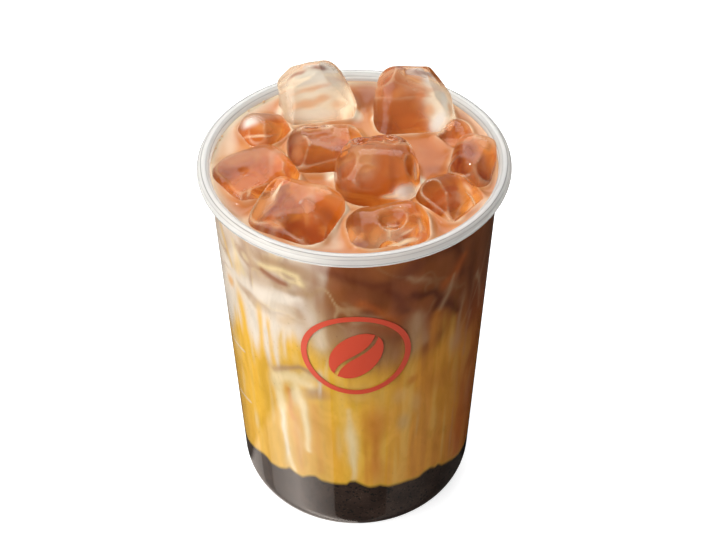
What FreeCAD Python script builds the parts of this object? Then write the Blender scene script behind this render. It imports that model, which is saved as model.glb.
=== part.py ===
"""Butterscotch latte over ice, built together with its clear plastic cup.

The cup is one thin revolved shell with a rounded corner at its foot, a shallow push-up under its floor
and a rolled rim.  The drink fills it face to face in three layers with uneven tops, and eleven melting
ice cubes stand in the uppermost layer.  Millimetres, +Z up, the origin on the table under the cup's
axis, -Y towards the front.
"""
import FreeCAD
import Part
import Sketcher

import math
import os

doc = FreeCAD.newDocument("butterscotch_latte")
sheet = doc.addObject("Spreadsheet::Sheet", "sizes")

# ---------------------------------------------------------------- driving dimensions

CUP_SIZES = {
    "cup_height": 134.0,         # table to the top of the rolled rim
    "rim_diameter": 95.0,        # outside of the rolled rim
    "rim_roll": 4.0,             # diameter of the roll's section
    "rim_curl_angle": 55.0,      # how far the roll turns in again below its outer side, degrees
    "wall": 0.5,
    "floor": 0.6,
    "foot_diameter": 78.2,       # the straight wall's line carried down to the table
    "corner_radius": 12.0,       # rounded corner between the floor and the wall
    "dish_diameter": 36.0,       # flat top of the push-up under the floor
    "dish_depth": 1.2,
    "dish_slope": 2.4,           # width of the push-up's sloping edge
}

DRINK_SIZES = {
    "headspace": 3.5,            # top of the rim down to the drink
    "base_layer_height": 26.5,   # mean height of the dark base layer's top above the table
    "base_layer_sway": 2.0,      # how much that top leans up towards the left
    "base_layer_ripple": 1.0,
    "golden_layer_height": 77.0,
    "golden_layer_sway": 3.0,
    "golden_layer_ripple": 2.6,
    "broad_tongues": 5,          # tongues that rise round a layer's edge, and finer ones between them
    "fine_tongues": 8,
    "layer_margin": 4.0,         # how far the layer tools reach outside the cup
}

# Each cube: across and along are its place as shares of the mouth's inner radius, +X and +Y; rise is its
# centre above the drink's surface; turn, pitch and roll are degrees about Z, X and Y; draft is the lean of
# its sides; melt is the radius of its worn edges.  Cubes stand in this order: each gives way to those
# before it where they meet.
CUBE_COLUMNS = (
    "across", "along", "rise", "length", "width", "height", "turn", "pitch", "roll", "draft", "melt",
)
CUBES = {
    "ice_back_left":    (-0.28, 0.70, 1.0, 24.0, 16.5, 23.0, 14, -38, -4, 6.0, 5.0),
    "ice_back_right":   (0.43, 0.58, 1.0, 26.0, 17.0, 25.0, 2, -36, -2, 7.0, 5.5),
    "ice_middle":       (0.15, -0.22, 0.0, 25.5, 23.0, 26.0, 9, -6, 2, 3.5, 8.0),
    "ice_left":         (-0.67, -0.11, -6.0, 24.0, 23.0, 21.0, 34, 6, -4, 3.0, 6.5),
    "ice_front_left":   (-0.38, -0.53, -5.0, 25.0, 23.0, 22.0, -24, 8, 0, 3.5, 5.0),
    "ice_front":        (0.23, -0.69, -5.5, 24.0, 18.0, 20.0, 8, 12, -6, 1.5, 6.5),
    "ice_front_right":  (0.61, -0.39, -5.5, 18.0, 18.0, 18.0, 38, 20, 14, 2.0, 4.0),
    "ice_right":        (0.80, -0.02, -4.0, 13.0, 20.0, 19.0, -16, 6, 8, 1.5, 4.5),
    "ice_left_small":   (-0.65, 0.38, -6.0, 16.0, 15.0, 17.0, 24, 12, 20, 3.0, 4.5),
    "ice_middle_left":  (-0.20, 0.12, -5.0, 23.0, 20.0, 21.0, 4, 6, 4, 1.5, 5.5),
    "ice_right_small":  (0.73, 0.34, -6.8, 12.0, 15.0, 15.0, 20, 8, -12, 1.0, 4.0),
}

# Round dents melted into a cube's top: east and north of the top's middle, mouth diameter and depth.
DENT_COLUMNS = ("east", "north", "mouth", "deep")
DENTS = {
    "ice_middle": ((-4.5, 3.0, 6.5, 0.9), (5.5, 4.5, 5.0, 0.8)),
    "ice_middle_left": ((-4.0, 3.5, 6.0, 0.9),),
    "ice_front": ((1.5, 0.5, 8.0, 2.2),),
}

ROWS = iter(range(1, 1000))


def put(alias, value):
    """Write one named number into the next row of the sheet."""
    row = next(ROWS)
    sheet.set(f"A{row}", alias)
    sheet.set(f"B{row}", str(value))
    sheet.setAlias(f"B{row}", alias)


for alias, value in {**CUP_SIZES, **DRINK_SIZES}.items():
    put(alias, value)
for cube, numbers in CUBES.items():
    for column, value in zip(CUBE_COLUMNS, numbers):
        put(f"{cube}_{column}", value)
for cube, dents in DENTS.items():
    for which, dent in enumerate(dents, start=1):
        for column, value in zip(DENT_COLUMNS, dent):
            put(f"{cube}_dent_{which}_{column}", value)
doc.recompute()

# Lengths worked out from the sheet, as the expressions that the sketches and features are bound to.
ROLL_RADIUS = "sizes.rim_roll / 2"
MOUTH_RADIUS = "(sizes.rim_diameter / 2 - sizes.rim_roll)"
WALL_TOP = "(sizes.cup_height - sizes.rim_roll / 2)"
DRINK_LEVEL = "(sizes.cup_height - sizes.headspace)"
LEAN = f"(({MOUTH_RADIUS} + sizes.wall - sizes.foot_diameter / 2) / {WALL_TOP})"
PUSH_UP_EDGE = "(sizes.dish_diameter / 2 + sizes.dish_slope)"


def number(expression):
    """The value of an expression over the sheet, as a plain number."""
    result = sheet.evalExpression(expression)
    return float(getattr(result, "Value", result))


# ---------------------------------------------------------------- helpers

def origin_plane(body, role):
    return next(feature for feature in body.Origin.OriginFeatures if feature.Role == role)


def new_sketch(body, name, role):
    sketch = body.newObject("Sketcher::SketchObject", name)
    sketch.AttachmentSupport = [(origin_plane(body, role), "")]
    sketch.MapMode = "FlatFace"
    return sketch


def bind(sketch, kind, places, expression):
    """Add one dimension to a sketch and bind it to the sheet."""
    value = number(expression)
    if kind == "Angle":
        value = math.radians(value)
    index = sketch.addConstraint(Sketcher.Constraint(kind, *places, value))
    sketch.setExpression(f"Constraints[{index}]", expression)


def revolve(body, sketch, kind, name):
    feature = body.newObject(f"PartDesign::{kind}", name)
    feature.Profile = sketch
    feature.ReferenceAxis = (sketch, ["V_Axis"])
    feature.Angle = 360
    return feature


def part_object(kind, name, **properties):
    """A Part workbench object with its properties set."""
    made = doc.addObject(kind, name)
    for key, value in properties.items():
        setattr(made, key, value)
    return made


# ---------------------------------------------------------------- the cup's bowl shape

def bowl_sketch(body, name, inset, raised, top):
    """Half section of the bowl: the outside with no inset, the inside with the wall as its inset.

    inset moves the wall line in, raised lifts the floor line, and top closes the section.
    """
    sketch = new_sketch(body, name, "XZ_Plane")
    wall_radius = f"(sizes.foot_diameter / 2 - {inset} + {LEAN} * {top})"
    corner = f"(sizes.corner_radius - {inset})"
    slope = math.atan(number(LEAN))
    radius = number(corner)
    floor_z = number(raised)
    top_z = number(top)
    dish_z = floor_z + number("sizes.dish_depth")
    foot = number(f"sizes.foot_diameter / 2 - {inset}") + number(LEAN) * (floor_z + radius)
    centre_x = foot - radius / math.cos(slope)
    centre = FreeCAD.Vector(centre_x, floor_z + radius, 0)
    arc = Part.ArcOfCircle(Part.Circle(centre, FreeCAD.Vector(0, 0, 1), radius), -math.pi / 2, -slope)
    corners = [
        FreeCAD.Vector(0, top_z, 0),
        FreeCAD.Vector(0, dish_z, 0),
        FreeCAD.Vector(number("sizes.dish_diameter / 2"), dish_z, 0),
        FreeCAD.Vector(number(PUSH_UP_EDGE), floor_z, 0),
        arc.StartPoint,
    ]
    for start, end in zip(corners, corners[1:]):
        sketch.addGeometry(Part.LineSegment(start, end))
    rim_corner = FreeCAD.Vector(number(wall_radius), top_z, 0)
    sketch.addGeometry(arc)
    sketch.addGeometry(Part.LineSegment(arc.EndPoint, rim_corner))
    sketch.addGeometry(Part.LineSegment(rim_corner, corners[0]))
    axis, dish, ramp, floor, bend, side, lid = range(7)
    for first, second in ((axis, dish), (dish, ramp), (ramp, floor), (side, lid), (lid, axis)):
        sketch.addConstraint(Sketcher.Constraint("Coincident", first, 2, second, 1))
    sketch.addConstraint(Sketcher.Constraint("Tangent", floor, 2, bend, 1))
    sketch.addConstraint(Sketcher.Constraint("Tangent", bend, 2, side, 1))
    sketch.addConstraint(Sketcher.Constraint("PointOnObject", axis, 1, -2))
    sketch.addConstraint(Sketcher.Constraint("Vertical", axis))
    for line in (dish, floor, lid):
        sketch.addConstraint(Sketcher.Constraint("Horizontal", line))
    bind(sketch, "DistanceX", (-1, 1, dish, 2), "sizes.dish_diameter / 2")
    bind(sketch, "DistanceX", (-1, 1, ramp, 2), PUSH_UP_EDGE)
    bind(sketch, "DistanceY", (-1, 1, dish, 2), f"{raised} + sizes.dish_depth")
    bind(sketch, "DistanceY", (-1, 1, ramp, 2), raised)
    bind(sketch, "Radius", (bend,), corner)
    bind(sketch, "Angle", (side,), f"90 deg - atan({LEAN})")
    bind(sketch, "DistanceX", (-1, 1, side, 2), wall_radius)
    bind(sketch, "DistanceY", (-1, 1, side, 2), top)
    return sketch


def bowl_body(name, inset, raised, top):
    body = doc.addObject("PartDesign::Body", name)
    sketch = bowl_sketch(body, f"{name}_section", inset, raised, top)
    revolve(body, sketch, "Revolution", f"{name}_turned")
    return body


def rim_sketch(body):
    """Section of the rolled rim: a thin C that opens down and inwards, on the top of the wall."""
    sketch = new_sketch(body, "rim_section", "XZ_Plane")
    roll = number(ROLL_RADIUS)
    centre = FreeCAD.Vector(number("sizes.rim_diameter / 2") - roll, number(WALL_TOP), 0)
    last = -math.radians(number("sizes.rim_curl_angle"))
    for radius in (roll, roll - number("sizes.wall")):
        circle = Part.Circle(centre, FreeCAD.Vector(0, 0, 1), radius)
        sketch.addGeometry(Part.ArcOfCircle(circle, last, math.pi))
    outer, inner, foot, tip = range(4)
    for place in ("EndPoint", "StartPoint"):
        ends = [getattr(sketch.Geometry[arc], place) for arc in (outer, inner)]
        sketch.addGeometry(Part.LineSegment(*ends))
    for line, arc_end in ((foot, 2), (tip, 1)):
        sketch.addConstraint(Sketcher.Constraint("Coincident", line, 1, outer, arc_end))
        sketch.addConstraint(Sketcher.Constraint("Coincident", line, 2, inner, arc_end))
    sketch.addConstraint(Sketcher.Constraint("Coincident", outer, 3, inner, 3))
    sketch.addConstraint(Sketcher.Constraint("Horizontal", foot))
    sketch.addConstraint(Sketcher.Constraint("PointOnObject", outer, 3, foot))
    sketch.addConstraint(Sketcher.Constraint("PointOnObject", outer, 3, tip))
    bind(sketch, "Radius", (outer,), ROLL_RADIUS)
    bind(sketch, "Radius", (inner,), f"{ROLL_RADIUS} - sizes.wall")
    bind(sketch, "DistanceX", (-1, 1, outer, 3), f"sizes.rim_diameter / 2 - {ROLL_RADIUS}")
    bind(sketch, "DistanceY", (-1, 1, outer, 3), WALL_TOP)
    bind(sketch, "Angle", (tip,), "180 deg - sizes.rim_curl_angle * 1 deg")
    return sketch


def make_cup():
    cup = bowl_body("cup", "0", "0", WALL_TOP)
    hollow = bowl_sketch(cup, "hollow_section", "sizes.wall", "sizes.floor", WALL_TOP)
    revolve(cup, hollow, "Groove", "hollow")
    revolve(cup, rim_sketch(cup), "Revolution", "rolled_rim")
    return cup


# ---------------------------------------------------------------- ice

def place_cube(body, cube):
    """Turn a cube and set its middle above the drink's surface."""
    turn, pitch, roll = (number(f"sizes.{cube}_{angle}") for angle in ("turn", "pitch", "roll"))
    spin = FreeCAD.Rotation(FreeCAD.Vector(0, 0, 1), turn)
    tilt = FreeCAD.Rotation(FreeCAD.Vector(1, 0, 0), pitch)
    lean = FreeCAD.Rotation(FreeCAD.Vector(0, 1, 0), roll)
    body.Placement = FreeCAD.Placement(FreeCAD.Vector(0, 0, 0), spin * tilt * lean)
    body.setExpression("Placement.Base.x", f"sizes.{cube}_across * {MOUTH_RADIUS}")
    body.setExpression("Placement.Base.y", f"sizes.{cube}_along * {MOUTH_RADIUS}")
    body.setExpression("Placement.Base.z", f"{DRINK_LEVEL} + sizes.{cube}_rise")


def cube_block(cube):
    """A drafted block with all its edges melted round and its dents, centred on its own origin."""
    body = doc.addObject("PartDesign::Body", f"{cube}_block")
    sketch = new_sketch(body, f"{cube}_section", "XY_Plane")
    sketch.setExpression("AttachmentOffset.Base.z", f"-sizes.{cube}_height / 2")
    half_x = number(f"sizes.{cube}_length / 2")
    half_y = number(f"sizes.{cube}_width / 2")
    corners = [FreeCAD.Vector(x, y, 0) for x, y in
               ((-half_x, -half_y), (half_x, -half_y), (half_x, half_y), (-half_x, half_y))]
    for index, start in enumerate(corners):
        sketch.addGeometry(Part.LineSegment(start, corners[(index + 1) % 4]))
    for side in range(4):
        sketch.addConstraint(Sketcher.Constraint("Coincident", side, 2, (side + 1) % 4, 1))
    for side, direction in enumerate(("Horizontal", "Vertical", "Horizontal", "Vertical")):
        sketch.addConstraint(Sketcher.Constraint(direction, side))
    sketch.addConstraint(Sketcher.Constraint("Symmetric", 0, 1, 2, 1, -1, 1))
    bind(sketch, "DistanceX", (0, 1, 0, 2), f"sizes.{cube}_length")
    bind(sketch, "DistanceY", (1, 1, 1, 2), f"sizes.{cube}_width")
    pad = body.newObject("PartDesign::Pad", f"{cube}_pad")
    pad.Profile = sketch
    pad.setExpression("Length", f"sizes.{cube}_height")
    pad.setExpression("TaperAngle", f"-sizes.{cube}_draft")
    doc.recompute()
    fillet = body.newObject("PartDesign::Fillet", f"{cube}_melted")
    fillet.Base = (pad, [f"Edge{index + 1}" for index in range(len(pad.Shape.Edges))])
    fillet.setExpression("Radius", f"sizes.{cube}_melt")
    for index in range(len(DENTS.get(cube, ()))):
        cut_dent(body, f"{cube}_dent_{index + 1}", f"sizes.{cube}_height / 2")
    place_cube(body, cube)
    return body


def cut_dent(body, dent, top):
    """A shallow spherical dent whose mouth lies in the plane of the cube's top."""
    sphere = body.newObject("PartDesign::SubtractiveSphere", dent)
    sphere.AttachmentSupport = [(origin_plane(body, "XY_Plane"), "")]
    sphere.MapMode = "FlatFace"
    ball = f"((sizes.{dent}_mouth ^ 2 / 4 + sizes.{dent}_deep ^ 2) / (2 * sizes.{dent}_deep))"
    sphere.setExpression("Radius", ball)
    sphere.setExpression("AttachmentOffset.Base.x", f"sizes.{dent}_east")
    sphere.setExpression("AttachmentOffset.Base.y", f"sizes.{dent}_north")
    sphere.setExpression("AttachmentOffset.Base.z", f"{top} - sizes.{dent}_deep + {ball}")


def make_ice():
    """Every cube inside the cup's hollow, each one cut back where it meets a cube before it."""
    tallest = max(number(f"sizes.{cube}_height + sizes.{cube}_rise") for cube in CUBES)
    space = bowl_body("space_for_ice", "sizes.wall", "sizes.floor", f"({WALL_TOP} + {tallest})")
    blocks = []
    pieces = []
    for cube in CUBES:
        block = cube_block(cube)
        inside = part_object("Part::Common", f"{cube}_inside", Base=block, Tool=space)
        piece = inside
        if blocks:
            before = blocks[0]
            if len(blocks) > 1:
                before = part_object("Part::MultiFuse", f"{cube}_neighbours", Shapes=list(blocks))
            piece = part_object("Part::Cut", f"{cube}_cut", Base=inside, Tool=before)
        piece.Label = cube
        blocks.append(block)
        pieces.append(piece)
    return pieces


# ---------------------------------------------------------------- drink

def uneven_top(across, along, height, sway, ripple, phase):
    """Height of a layer's top: it leans up to the left and rises in tongues near the wall."""
    reach = number("sizes.rim_diameter / 2")
    away = math.hypot(across, along) / reach
    angle = math.atan2(along, across)
    broad = math.sin(number("sizes.broad_tongues") * angle + phase)
    fine = math.sin(number("sizes.fine_tongues") * angle - phase)
    return height - sway * across / reach + ripple * (broad + fine) / 2 * away ** 2


def layer_tool(name, prefix, phase):
    """A block from below the cup up to a layer's uneven top, wider than the cup."""
    height, sway, ripple = (number(f"sizes.{prefix}_{key}") for key in ("height", "sway", "ripple"))
    reach = number("sizes.rim_diameter / 2 + sizes.layer_margin")
    steps = 14
    stops = [reach * (2 * step / steps - 1) for step in range(steps + 1)]
    grid = []
    for x in stops:
        heights = [uneven_top(x, y, height, sway, ripple, phase) for y in stops]
        grid.append([FreeCAD.Vector(x, y, z) for y, z in zip(stops, heights)])
    surface = Part.BSplineSurface()
    surface.interpolate(grid)
    drop = height + number("sizes.layer_margin") + abs(sway) + abs(ripple)
    block = surface.toShape().extrude(FreeCAD.Vector(0, 0, -drop))
    tool = doc.addObject("Part::Feature", name)
    tool.Shape = block
    return tool


def make_drink(ice):
    """The cup's hollow up to the drink's level, less the ice, as three layers that meet face to face."""
    fill = bowl_body("fill", "sizes.wall", "sizes.floor", DRINK_LEVEL)
    sunk = part_object("Part::MultiFuse", "all_ice", Shapes=ice)
    liquid = part_object("Part::Cut", "liquid", Base=fill, Tool=sunk)
    base_tool = layer_tool("base_tool", "base_layer", 0.7)
    golden_tool = layer_tool("golden_tool", "golden_layer", 2.1)
    base = part_object("Part::Common", "base", Base=liquid, Tool=base_tool)
    above_base = part_object("Part::Cut", "above_base", Base=liquid, Tool=base_tool)
    golden = part_object("Part::Common", "golden", Base=above_base, Tool=golden_tool)
    milky = part_object("Part::Cut", "milky", Base=above_base, Tool=golden_tool)
    for layer, label in ((base, "dark_base_layer"), (golden, "butterscotch_layer"), (milky, "latte_layer")):
        layer.Label = label
    return [base, golden, milky]


# ---------------------------------------------------------------- build, check and write

cup = make_cup()
ice = make_ice()
layers = make_drink(ice)
doc.recompute()

failed = [item.Name for item in doc.Objects if {"Invalid", "Error"} & set(item.State)]
if failed:
    raise RuntimeError(f"objects that did not build: {failed}")
nodes = [cup] + layers + ice
for node in nodes:
    if node.Shape.isNull() or not node.Shape.isValid() or len(node.Shape.Solids) != 1:
        raise RuntimeError(f"{node.Label}: {len(node.Shape.Solids)} solids, valid {node.Shape.isValid()}")

os.makedirs("parts", exist_ok=True)
for node in nodes:
    node.Shape.exportStep(f"parts/{node.Label}.step")
    box = node.Shape.BoundBox
    print(f"{node.Label}: {node.Shape.Volume / 1000:.2f} ml, z {box.ZMin:.2f} to {box.ZMax:.2f}")
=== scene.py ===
"""Butterscotch latte over ice in a clear plastic cup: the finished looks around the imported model.

Metres, +Z up, the cup's axis on Z and -Y towards the front.  Bearings round the cup run from the front,
positive to the right: in degrees in the tables, elsewhere in radians unless a comment says degrees.
"""
import math

import bmesh
import bpy
import numpy as np
from mathutils import Matrix, Vector, noise
from mathutils.bvhtree import BVHTree


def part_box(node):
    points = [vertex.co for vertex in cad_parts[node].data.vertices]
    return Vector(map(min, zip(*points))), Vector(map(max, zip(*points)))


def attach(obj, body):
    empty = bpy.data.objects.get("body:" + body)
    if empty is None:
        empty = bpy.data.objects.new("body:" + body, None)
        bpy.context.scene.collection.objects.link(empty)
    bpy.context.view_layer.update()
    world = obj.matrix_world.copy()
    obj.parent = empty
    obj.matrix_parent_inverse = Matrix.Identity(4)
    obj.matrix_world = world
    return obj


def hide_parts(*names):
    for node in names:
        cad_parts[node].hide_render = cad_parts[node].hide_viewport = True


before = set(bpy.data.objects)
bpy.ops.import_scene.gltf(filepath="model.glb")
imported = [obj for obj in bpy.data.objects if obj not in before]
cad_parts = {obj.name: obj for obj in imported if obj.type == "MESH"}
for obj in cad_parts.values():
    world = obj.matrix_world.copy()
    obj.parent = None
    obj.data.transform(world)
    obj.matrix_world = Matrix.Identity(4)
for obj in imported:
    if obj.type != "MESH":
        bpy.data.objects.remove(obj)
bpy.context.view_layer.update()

MM = 0.001

# ---------------------------------------------------------------- sizes

CUP_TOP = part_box("cup")[1].z
RIM_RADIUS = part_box("cup")[1].x
DRINK_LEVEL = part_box("latte_layer")[1].z
ROLL = 4.0 * MM                      # diameter of the rolled rim's section
WALL = 0.5 * MM
FLOOR = 0.6 * MM
FOOT_RADIUS = 39.1 * MM              # the wall's line carried down to the table
CORNER = 12.0 * MM                   # rounded corner at the foot of the wall
DISH_RADIUS = 18.0 * MM              # push-up under the floor
DISH_DEPTH = 1.2 * MM
DISH_SLOPE = 2.4 * MM
CURL_ANGLE = math.radians(55)        # how far the roll turns in below its outer side
WALL_TOP = CUP_TOP - ROLL / 2
MOUTH_RADIUS = RIM_RADIUS - ROLL     # inside of the wall at its top
INTO_WALL = 0.2 * MM                 # how far the drink reaches into the wall
ROUND = 448                          # steps round the drink
BASE_TOP = 26.5 * MM
GOLDEN_TOP = 77.0 * MM
LATTE_ROWS = 84                      # rows up the side of each layer
GOLDEN_ROWS = 96
BASE_ROWS = 16
LATTE_RINGS = 112                    # rings on the drink's surface
BOWL_TOP = 15 * MM                   # up to here the dark base takes the cup's own outline

ICE_NODES = sorted(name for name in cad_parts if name.startswith("ice_"))


def eased(share):
    """A share from 0 to 1 that starts and ends gently."""
    return share * share * (3 - 2 * share)


def smooth(value, low, high):
    """0 at low and 1 at high with a gentle rise between, also where high is the smaller number."""
    return eased(np.clip((value - low) / (high - low), 0, 1))


def round_point(radius, bearing, z):
    """The point at a distance from the axis, a bearing and a height."""
    return radius * math.sin(bearing), -radius * math.cos(bearing), z


def direction(bearing, elevation):
    """The way to a bearing and an elevation, both in degrees."""
    elevation = math.radians(elevation)
    return Vector(round_point(math.cos(elevation), math.radians(bearing), math.sin(elevation)))


def outer_radius(z):
    """Outside radius of the straight wall's line at a height."""
    foot_to_mouth = MOUTH_RADIUS + WALL - FOOT_RADIUS
    return FOOT_RADIUS + foot_to_mouth * z / WALL_TOP


def bowl_outline(inset, raised, top, steps):
    """Points (radius, height) of the bowl from the middle of the floor up the wall.

    inset moves the wall in and raised lifts the floor; steps divide the wall's straight part.
    """
    slope = math.atan((MOUTH_RADIUS + WALL - FOOT_RADIUS) / WALL_TOP)
    bend = CORNER - inset
    centre_z = raised + bend
    centre_r = outer_radius(centre_z) - inset - bend / math.cos(slope)
    points = [(0.0, raised + DISH_DEPTH), (DISH_RADIUS * 0.6, raised + DISH_DEPTH)]
    for step in range(9):
        share = step / 8
        lift = DISH_DEPTH * (1 - eased(share))
        points.append((DISH_RADIUS + DISH_SLOPE * share, raised + lift))
    for step in range(25):
        angle = -math.pi / 2 + (math.pi / 2 - slope) * step / 24
        points.append((centre_r + bend * math.cos(angle), centre_z + bend * math.sin(angle)))
    start = points[-1][1]
    for step in range(1, steps + 1):
        z = start + (top - start) * step / steps
        points.append((outer_radius(z) - inset, z))
    return points


# ---------------------------------------------------------------- mesh helpers

def placed(name, data):
    """A new object in the scene."""
    thing = bpy.data.objects.new(name, data)
    bpy.context.scene.collection.objects.link(thing)
    return thing


def applied(thing):
    """The object's mesh with its modifiers applied."""
    bpy.context.view_layer.update()
    return bpy.data.meshes.new_from_object(thing.evaluated_get(bpy.context.evaluated_depsgraph_get()))


def new_object(name, vertices, faces, rounded=True):
    mesh = bpy.data.meshes.new(name)
    mesh.from_pydata([tuple(v) for v in vertices], [], faces)
    mesh.validate()
    if rounded:
        mesh.shade_smooth()
        mesh.set_sharp_from_angle(angle=math.radians(50))
    return placed(name, mesh)


def ring_faces(rows, around, offset=0):
    """Quads between rows of points that close round the axis."""
    faces = []
    for row in range(rows - 1):
        low = offset + row * around
        high = low + around
        for step in range(around):
            after = (step + 1) % around
            faces.append((low + step, low + after, high + after, high + step))
    return faces


def turned(name, outline, around):
    """A turned solid from an outline that starts and ends on the axis, going out, up and back in."""
    angles = np.arange(around) * 2 * math.pi / around
    rows = [np.stack([r * np.cos(angles), r * np.sin(angles), np.full(around, z)], -1)
            for r, z in outline[1:-1]]
    vertices = np.concatenate(rows + [[(0, 0, outline[0][1])], [(0, 0, outline[-1][1])]])
    faces = ring_faces(len(rows), around)
    bottom, top = len(vertices) - 2, len(vertices) - 1
    last = (len(rows) - 1) * around
    for step in range(around):
        after = (step + 1) % around
        faces.append((bottom, after, step))
        faces.append((top, last + step, last + after))
    return new_object(name, vertices, faces)


def fill_attribute(thing, name, values):
    layer = thing.data.attributes.new(name, "FLOAT", "POINT")
    layer.data.foreach_set("value", np.asarray(values, np.float32))


def fill_colours(thing, name, colours):
    layer = thing.data.attributes.new(name, "FLOAT_COLOR", "POINT")
    layer.data.foreach_set("color", np.asarray(colours, np.float32).ravel())


# ---------------------------------------------------------------- materials

def srgb(red, green, blue):
    """A colour given as it looks on a screen, 0 to 255, as the linear values that shaders use."""
    linear = []
    for value in (red, green, blue):
        value /= 255
        linear.append(value / 12.92 if value <= 0.04045 else ((value + 0.055) / 1.055) ** 2.4)
    return (*linear, 1.0)


class Shader:
    """The node tree of a new material or world, with short calls for adding and joining nodes."""

    def __init__(self, name, kind="materials"):
        self.owner = getattr(bpy.data, kind).new(name)
        self.owner.use_nodes = True
        self.tree = self.owner.node_tree
        self.tree.nodes.clear()

    def node(self, kind, **settings):
        made = self.tree.nodes.new(kind)
        for key, value in settings.items():
            setattr(made, key, value)
        return made

    def join(self, source, target):
        self.tree.links.new(source, target)

    def feed(self, target, value):
        """Set a socket to a plain value, or link it to another node's socket."""
        if isinstance(value, bpy.types.NodeSocket):
            self.join(value, target)
        else:
            target.default_value = value

    def math(self, operation, first, second=0.0, clamp=False):
        made = self.node("ShaderNodeMath", operation=operation, use_clamp=clamp)
        self.feed(made.inputs[0], first)
        self.feed(made.inputs[1], second)
        return made.outputs[0]

    def span(self, value, low, high, to_low=0.0, to_high=1.0, curve="SMOOTHSTEP"):
        """Value between low and high carried to to_low and to_high, and held outside them."""
        made = self.node("ShaderNodeMapRange", interpolation_type=curve)
        for target, number in zip(made.inputs, (value, low, high, to_low, to_high)):
            self.feed(target, number)
        return made.outputs[0]

    def mix(self, share, first, second):
        made = self.node("ShaderNodeMix", data_type="RGBA", clamp_factor=False)
        self.feed(made.inputs[0], share)
        self.feed(made.inputs[6], first)
        self.feed(made.inputs[7], second)
        return made.outputs[2]

    def attribute(self, name):
        return self.node("ShaderNodeAttribute", attribute_name=name).outputs["Fac"]

    def noise(self, scale, stretch=(1, 1, 1), detail=3.0, roughness=0.5, distortion=0.0, shift=(0, 0, 0)):
        """Noise in object space; scale is features a metre, stretch divides it along each axis."""
        coordinates = self.node("ShaderNodeTexCoord").outputs["Object"]
        mapping = self.node("ShaderNodeMapping")
        mapping.inputs["Scale"].default_value = [scale / part for part in stretch]
        mapping.inputs["Location"].default_value = shift
        self.join(coordinates, mapping.inputs["Vector"])
        made = self.node("ShaderNodeTexNoise")
        made.inputs["Scale"].default_value = 1.0
        made.inputs["Detail"].default_value = detail
        made.inputs["Roughness"].default_value = roughness
        made.inputs["Distortion"].default_value = distortion
        self.join(mapping.outputs["Vector"], made.inputs["Vector"])
        return made.outputs["Fac"]

    def ramp(self, value, stops):
        """Value carried along straight lines between stops (value, result)."""
        first, last = stops[0][0], stops[-1][0]
        made = self.node("ShaderNodeValToRGB")
        share = self.span(value, first, last, curve="LINEAR")
        self.join(share, made.inputs[0])
        points = made.color_ramp.elements
        for _ in range(len(stops) - 2):
            points.new(0.5)
        for point, (place, result) in zip(points, stops):
            point.position = (place - first) / (last - first)
            point.color = (result, result, result, 1)
        return made.outputs["Color"]

    def bump(self, height, distance, strength=1.0):
        made = self.node("ShaderNodeBump")
        made.inputs["Strength"].default_value = strength
        made.inputs["Distance"].default_value = distance
        self.join(height, made.inputs["Height"])
        return made.outputs["Normal"]

    def surface(self, kind="BsdfPrincipled", **sockets):
        """A surface or glow of a kind; sockets are its inputs by name, with _ for a space."""
        made = self.node("ShaderNode" + kind)
        for name, value in sockets.items():
            self.feed(made.inputs[name.replace("_", " ")], value)
        return made.outputs[0]

    def blend(self, share, first, second):
        """One surface turned into another by a share."""
        made = self.node("ShaderNodeMixShader")
        for target, value in zip(made.inputs, (share, first, second)):
            self.feed(target, value)
        return made.outputs[0]

    def rays(self):
        """What kind of ray reaches the surface, by name."""
        return self.node("ShaderNodeLightPath").outputs

    def finish(self, shader, kind="Material"):
        output = self.node("ShaderNodeOutput" + kind)
        self.join(shader, output.inputs["Surface"])
        return self.owner


def let_lamps_through(shader, body, colour):
    """Finish clear stuff: the body for the eye, and a plain colour on the lamps' way to what it holds."""
    rays = shader.rays()
    lamp_ray = shader.math("MAXIMUM", rays["Is Shadow Ray"], rays["Is Diffuse Ray"])
    return shader.finish(shader.blend(lamp_ray, body, shader.surface("BsdfTransparent", Color=colour)))


def clear_plastic():
    """The thin wall, which bends what is seen through it."""
    shader = Shader("clear plastic")
    colour = (0.985, 0.985, 0.985, 1)
    body = shader.surface(Base_Color=colour, IOR=1.57, Roughness=0.0, Transmission_Weight=1.0)
    return let_lamps_through(shader, body, colour)


def rolled_rim():
    """The thick roll of the rim: cloudier than the wall, with grey lines of painted shade round it in place
    of fine turned ridges.
    """
    shader = Shader("rolled rim")
    colour = shader.mix(shader.attribute("line"), srgb(236, 236, 234), srgb(146, 146, 146))
    body = shader.surface(Base_Color=colour, IOR=1.5, Roughness=0.1, Transmission_Weight=0.64)
    cloudy = shader.blend(0.24, body, shader.surface("BsdfTranslucent", Color=colour))
    lamp_ray = shader.math("MULTIPLY", shader.rays()["Is Shadow Ray"], 0.8)
    return shader.finish(shader.blend(lamp_ray, cloudy, shader.surface("BsdfTransparent")))


def melting_ice():
    """Clear ice with a milky veil, painted highlights and the drink's colours painted as seen through it,
    where its points say so.
    """
    shader = Shader("melting ice")
    tint = srgb(253, 249, 244)
    wave = shader.bump(shader.noise(210, detail=2), 0.12 * MM, 0.6)
    body = shader.surface(Base_Color=tint, IOR=1.31, Roughness=0.0, Transmission_Weight=1.0, Normal=wave)
    veil_and_gleam_tint = shader.node("ShaderNodeAttribute", attribute_name="veil_and_gleam_tint").outputs["Color"]
    veil_and_gleam = shader.surface(Base_Color=veil_and_gleam_tint, Roughness=0.12, IOR=1.31)
    return let_lamps_through(shader, shader.blend(shader.attribute("veil_and_gleam"), body, veil_and_gleam), tint)


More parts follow.
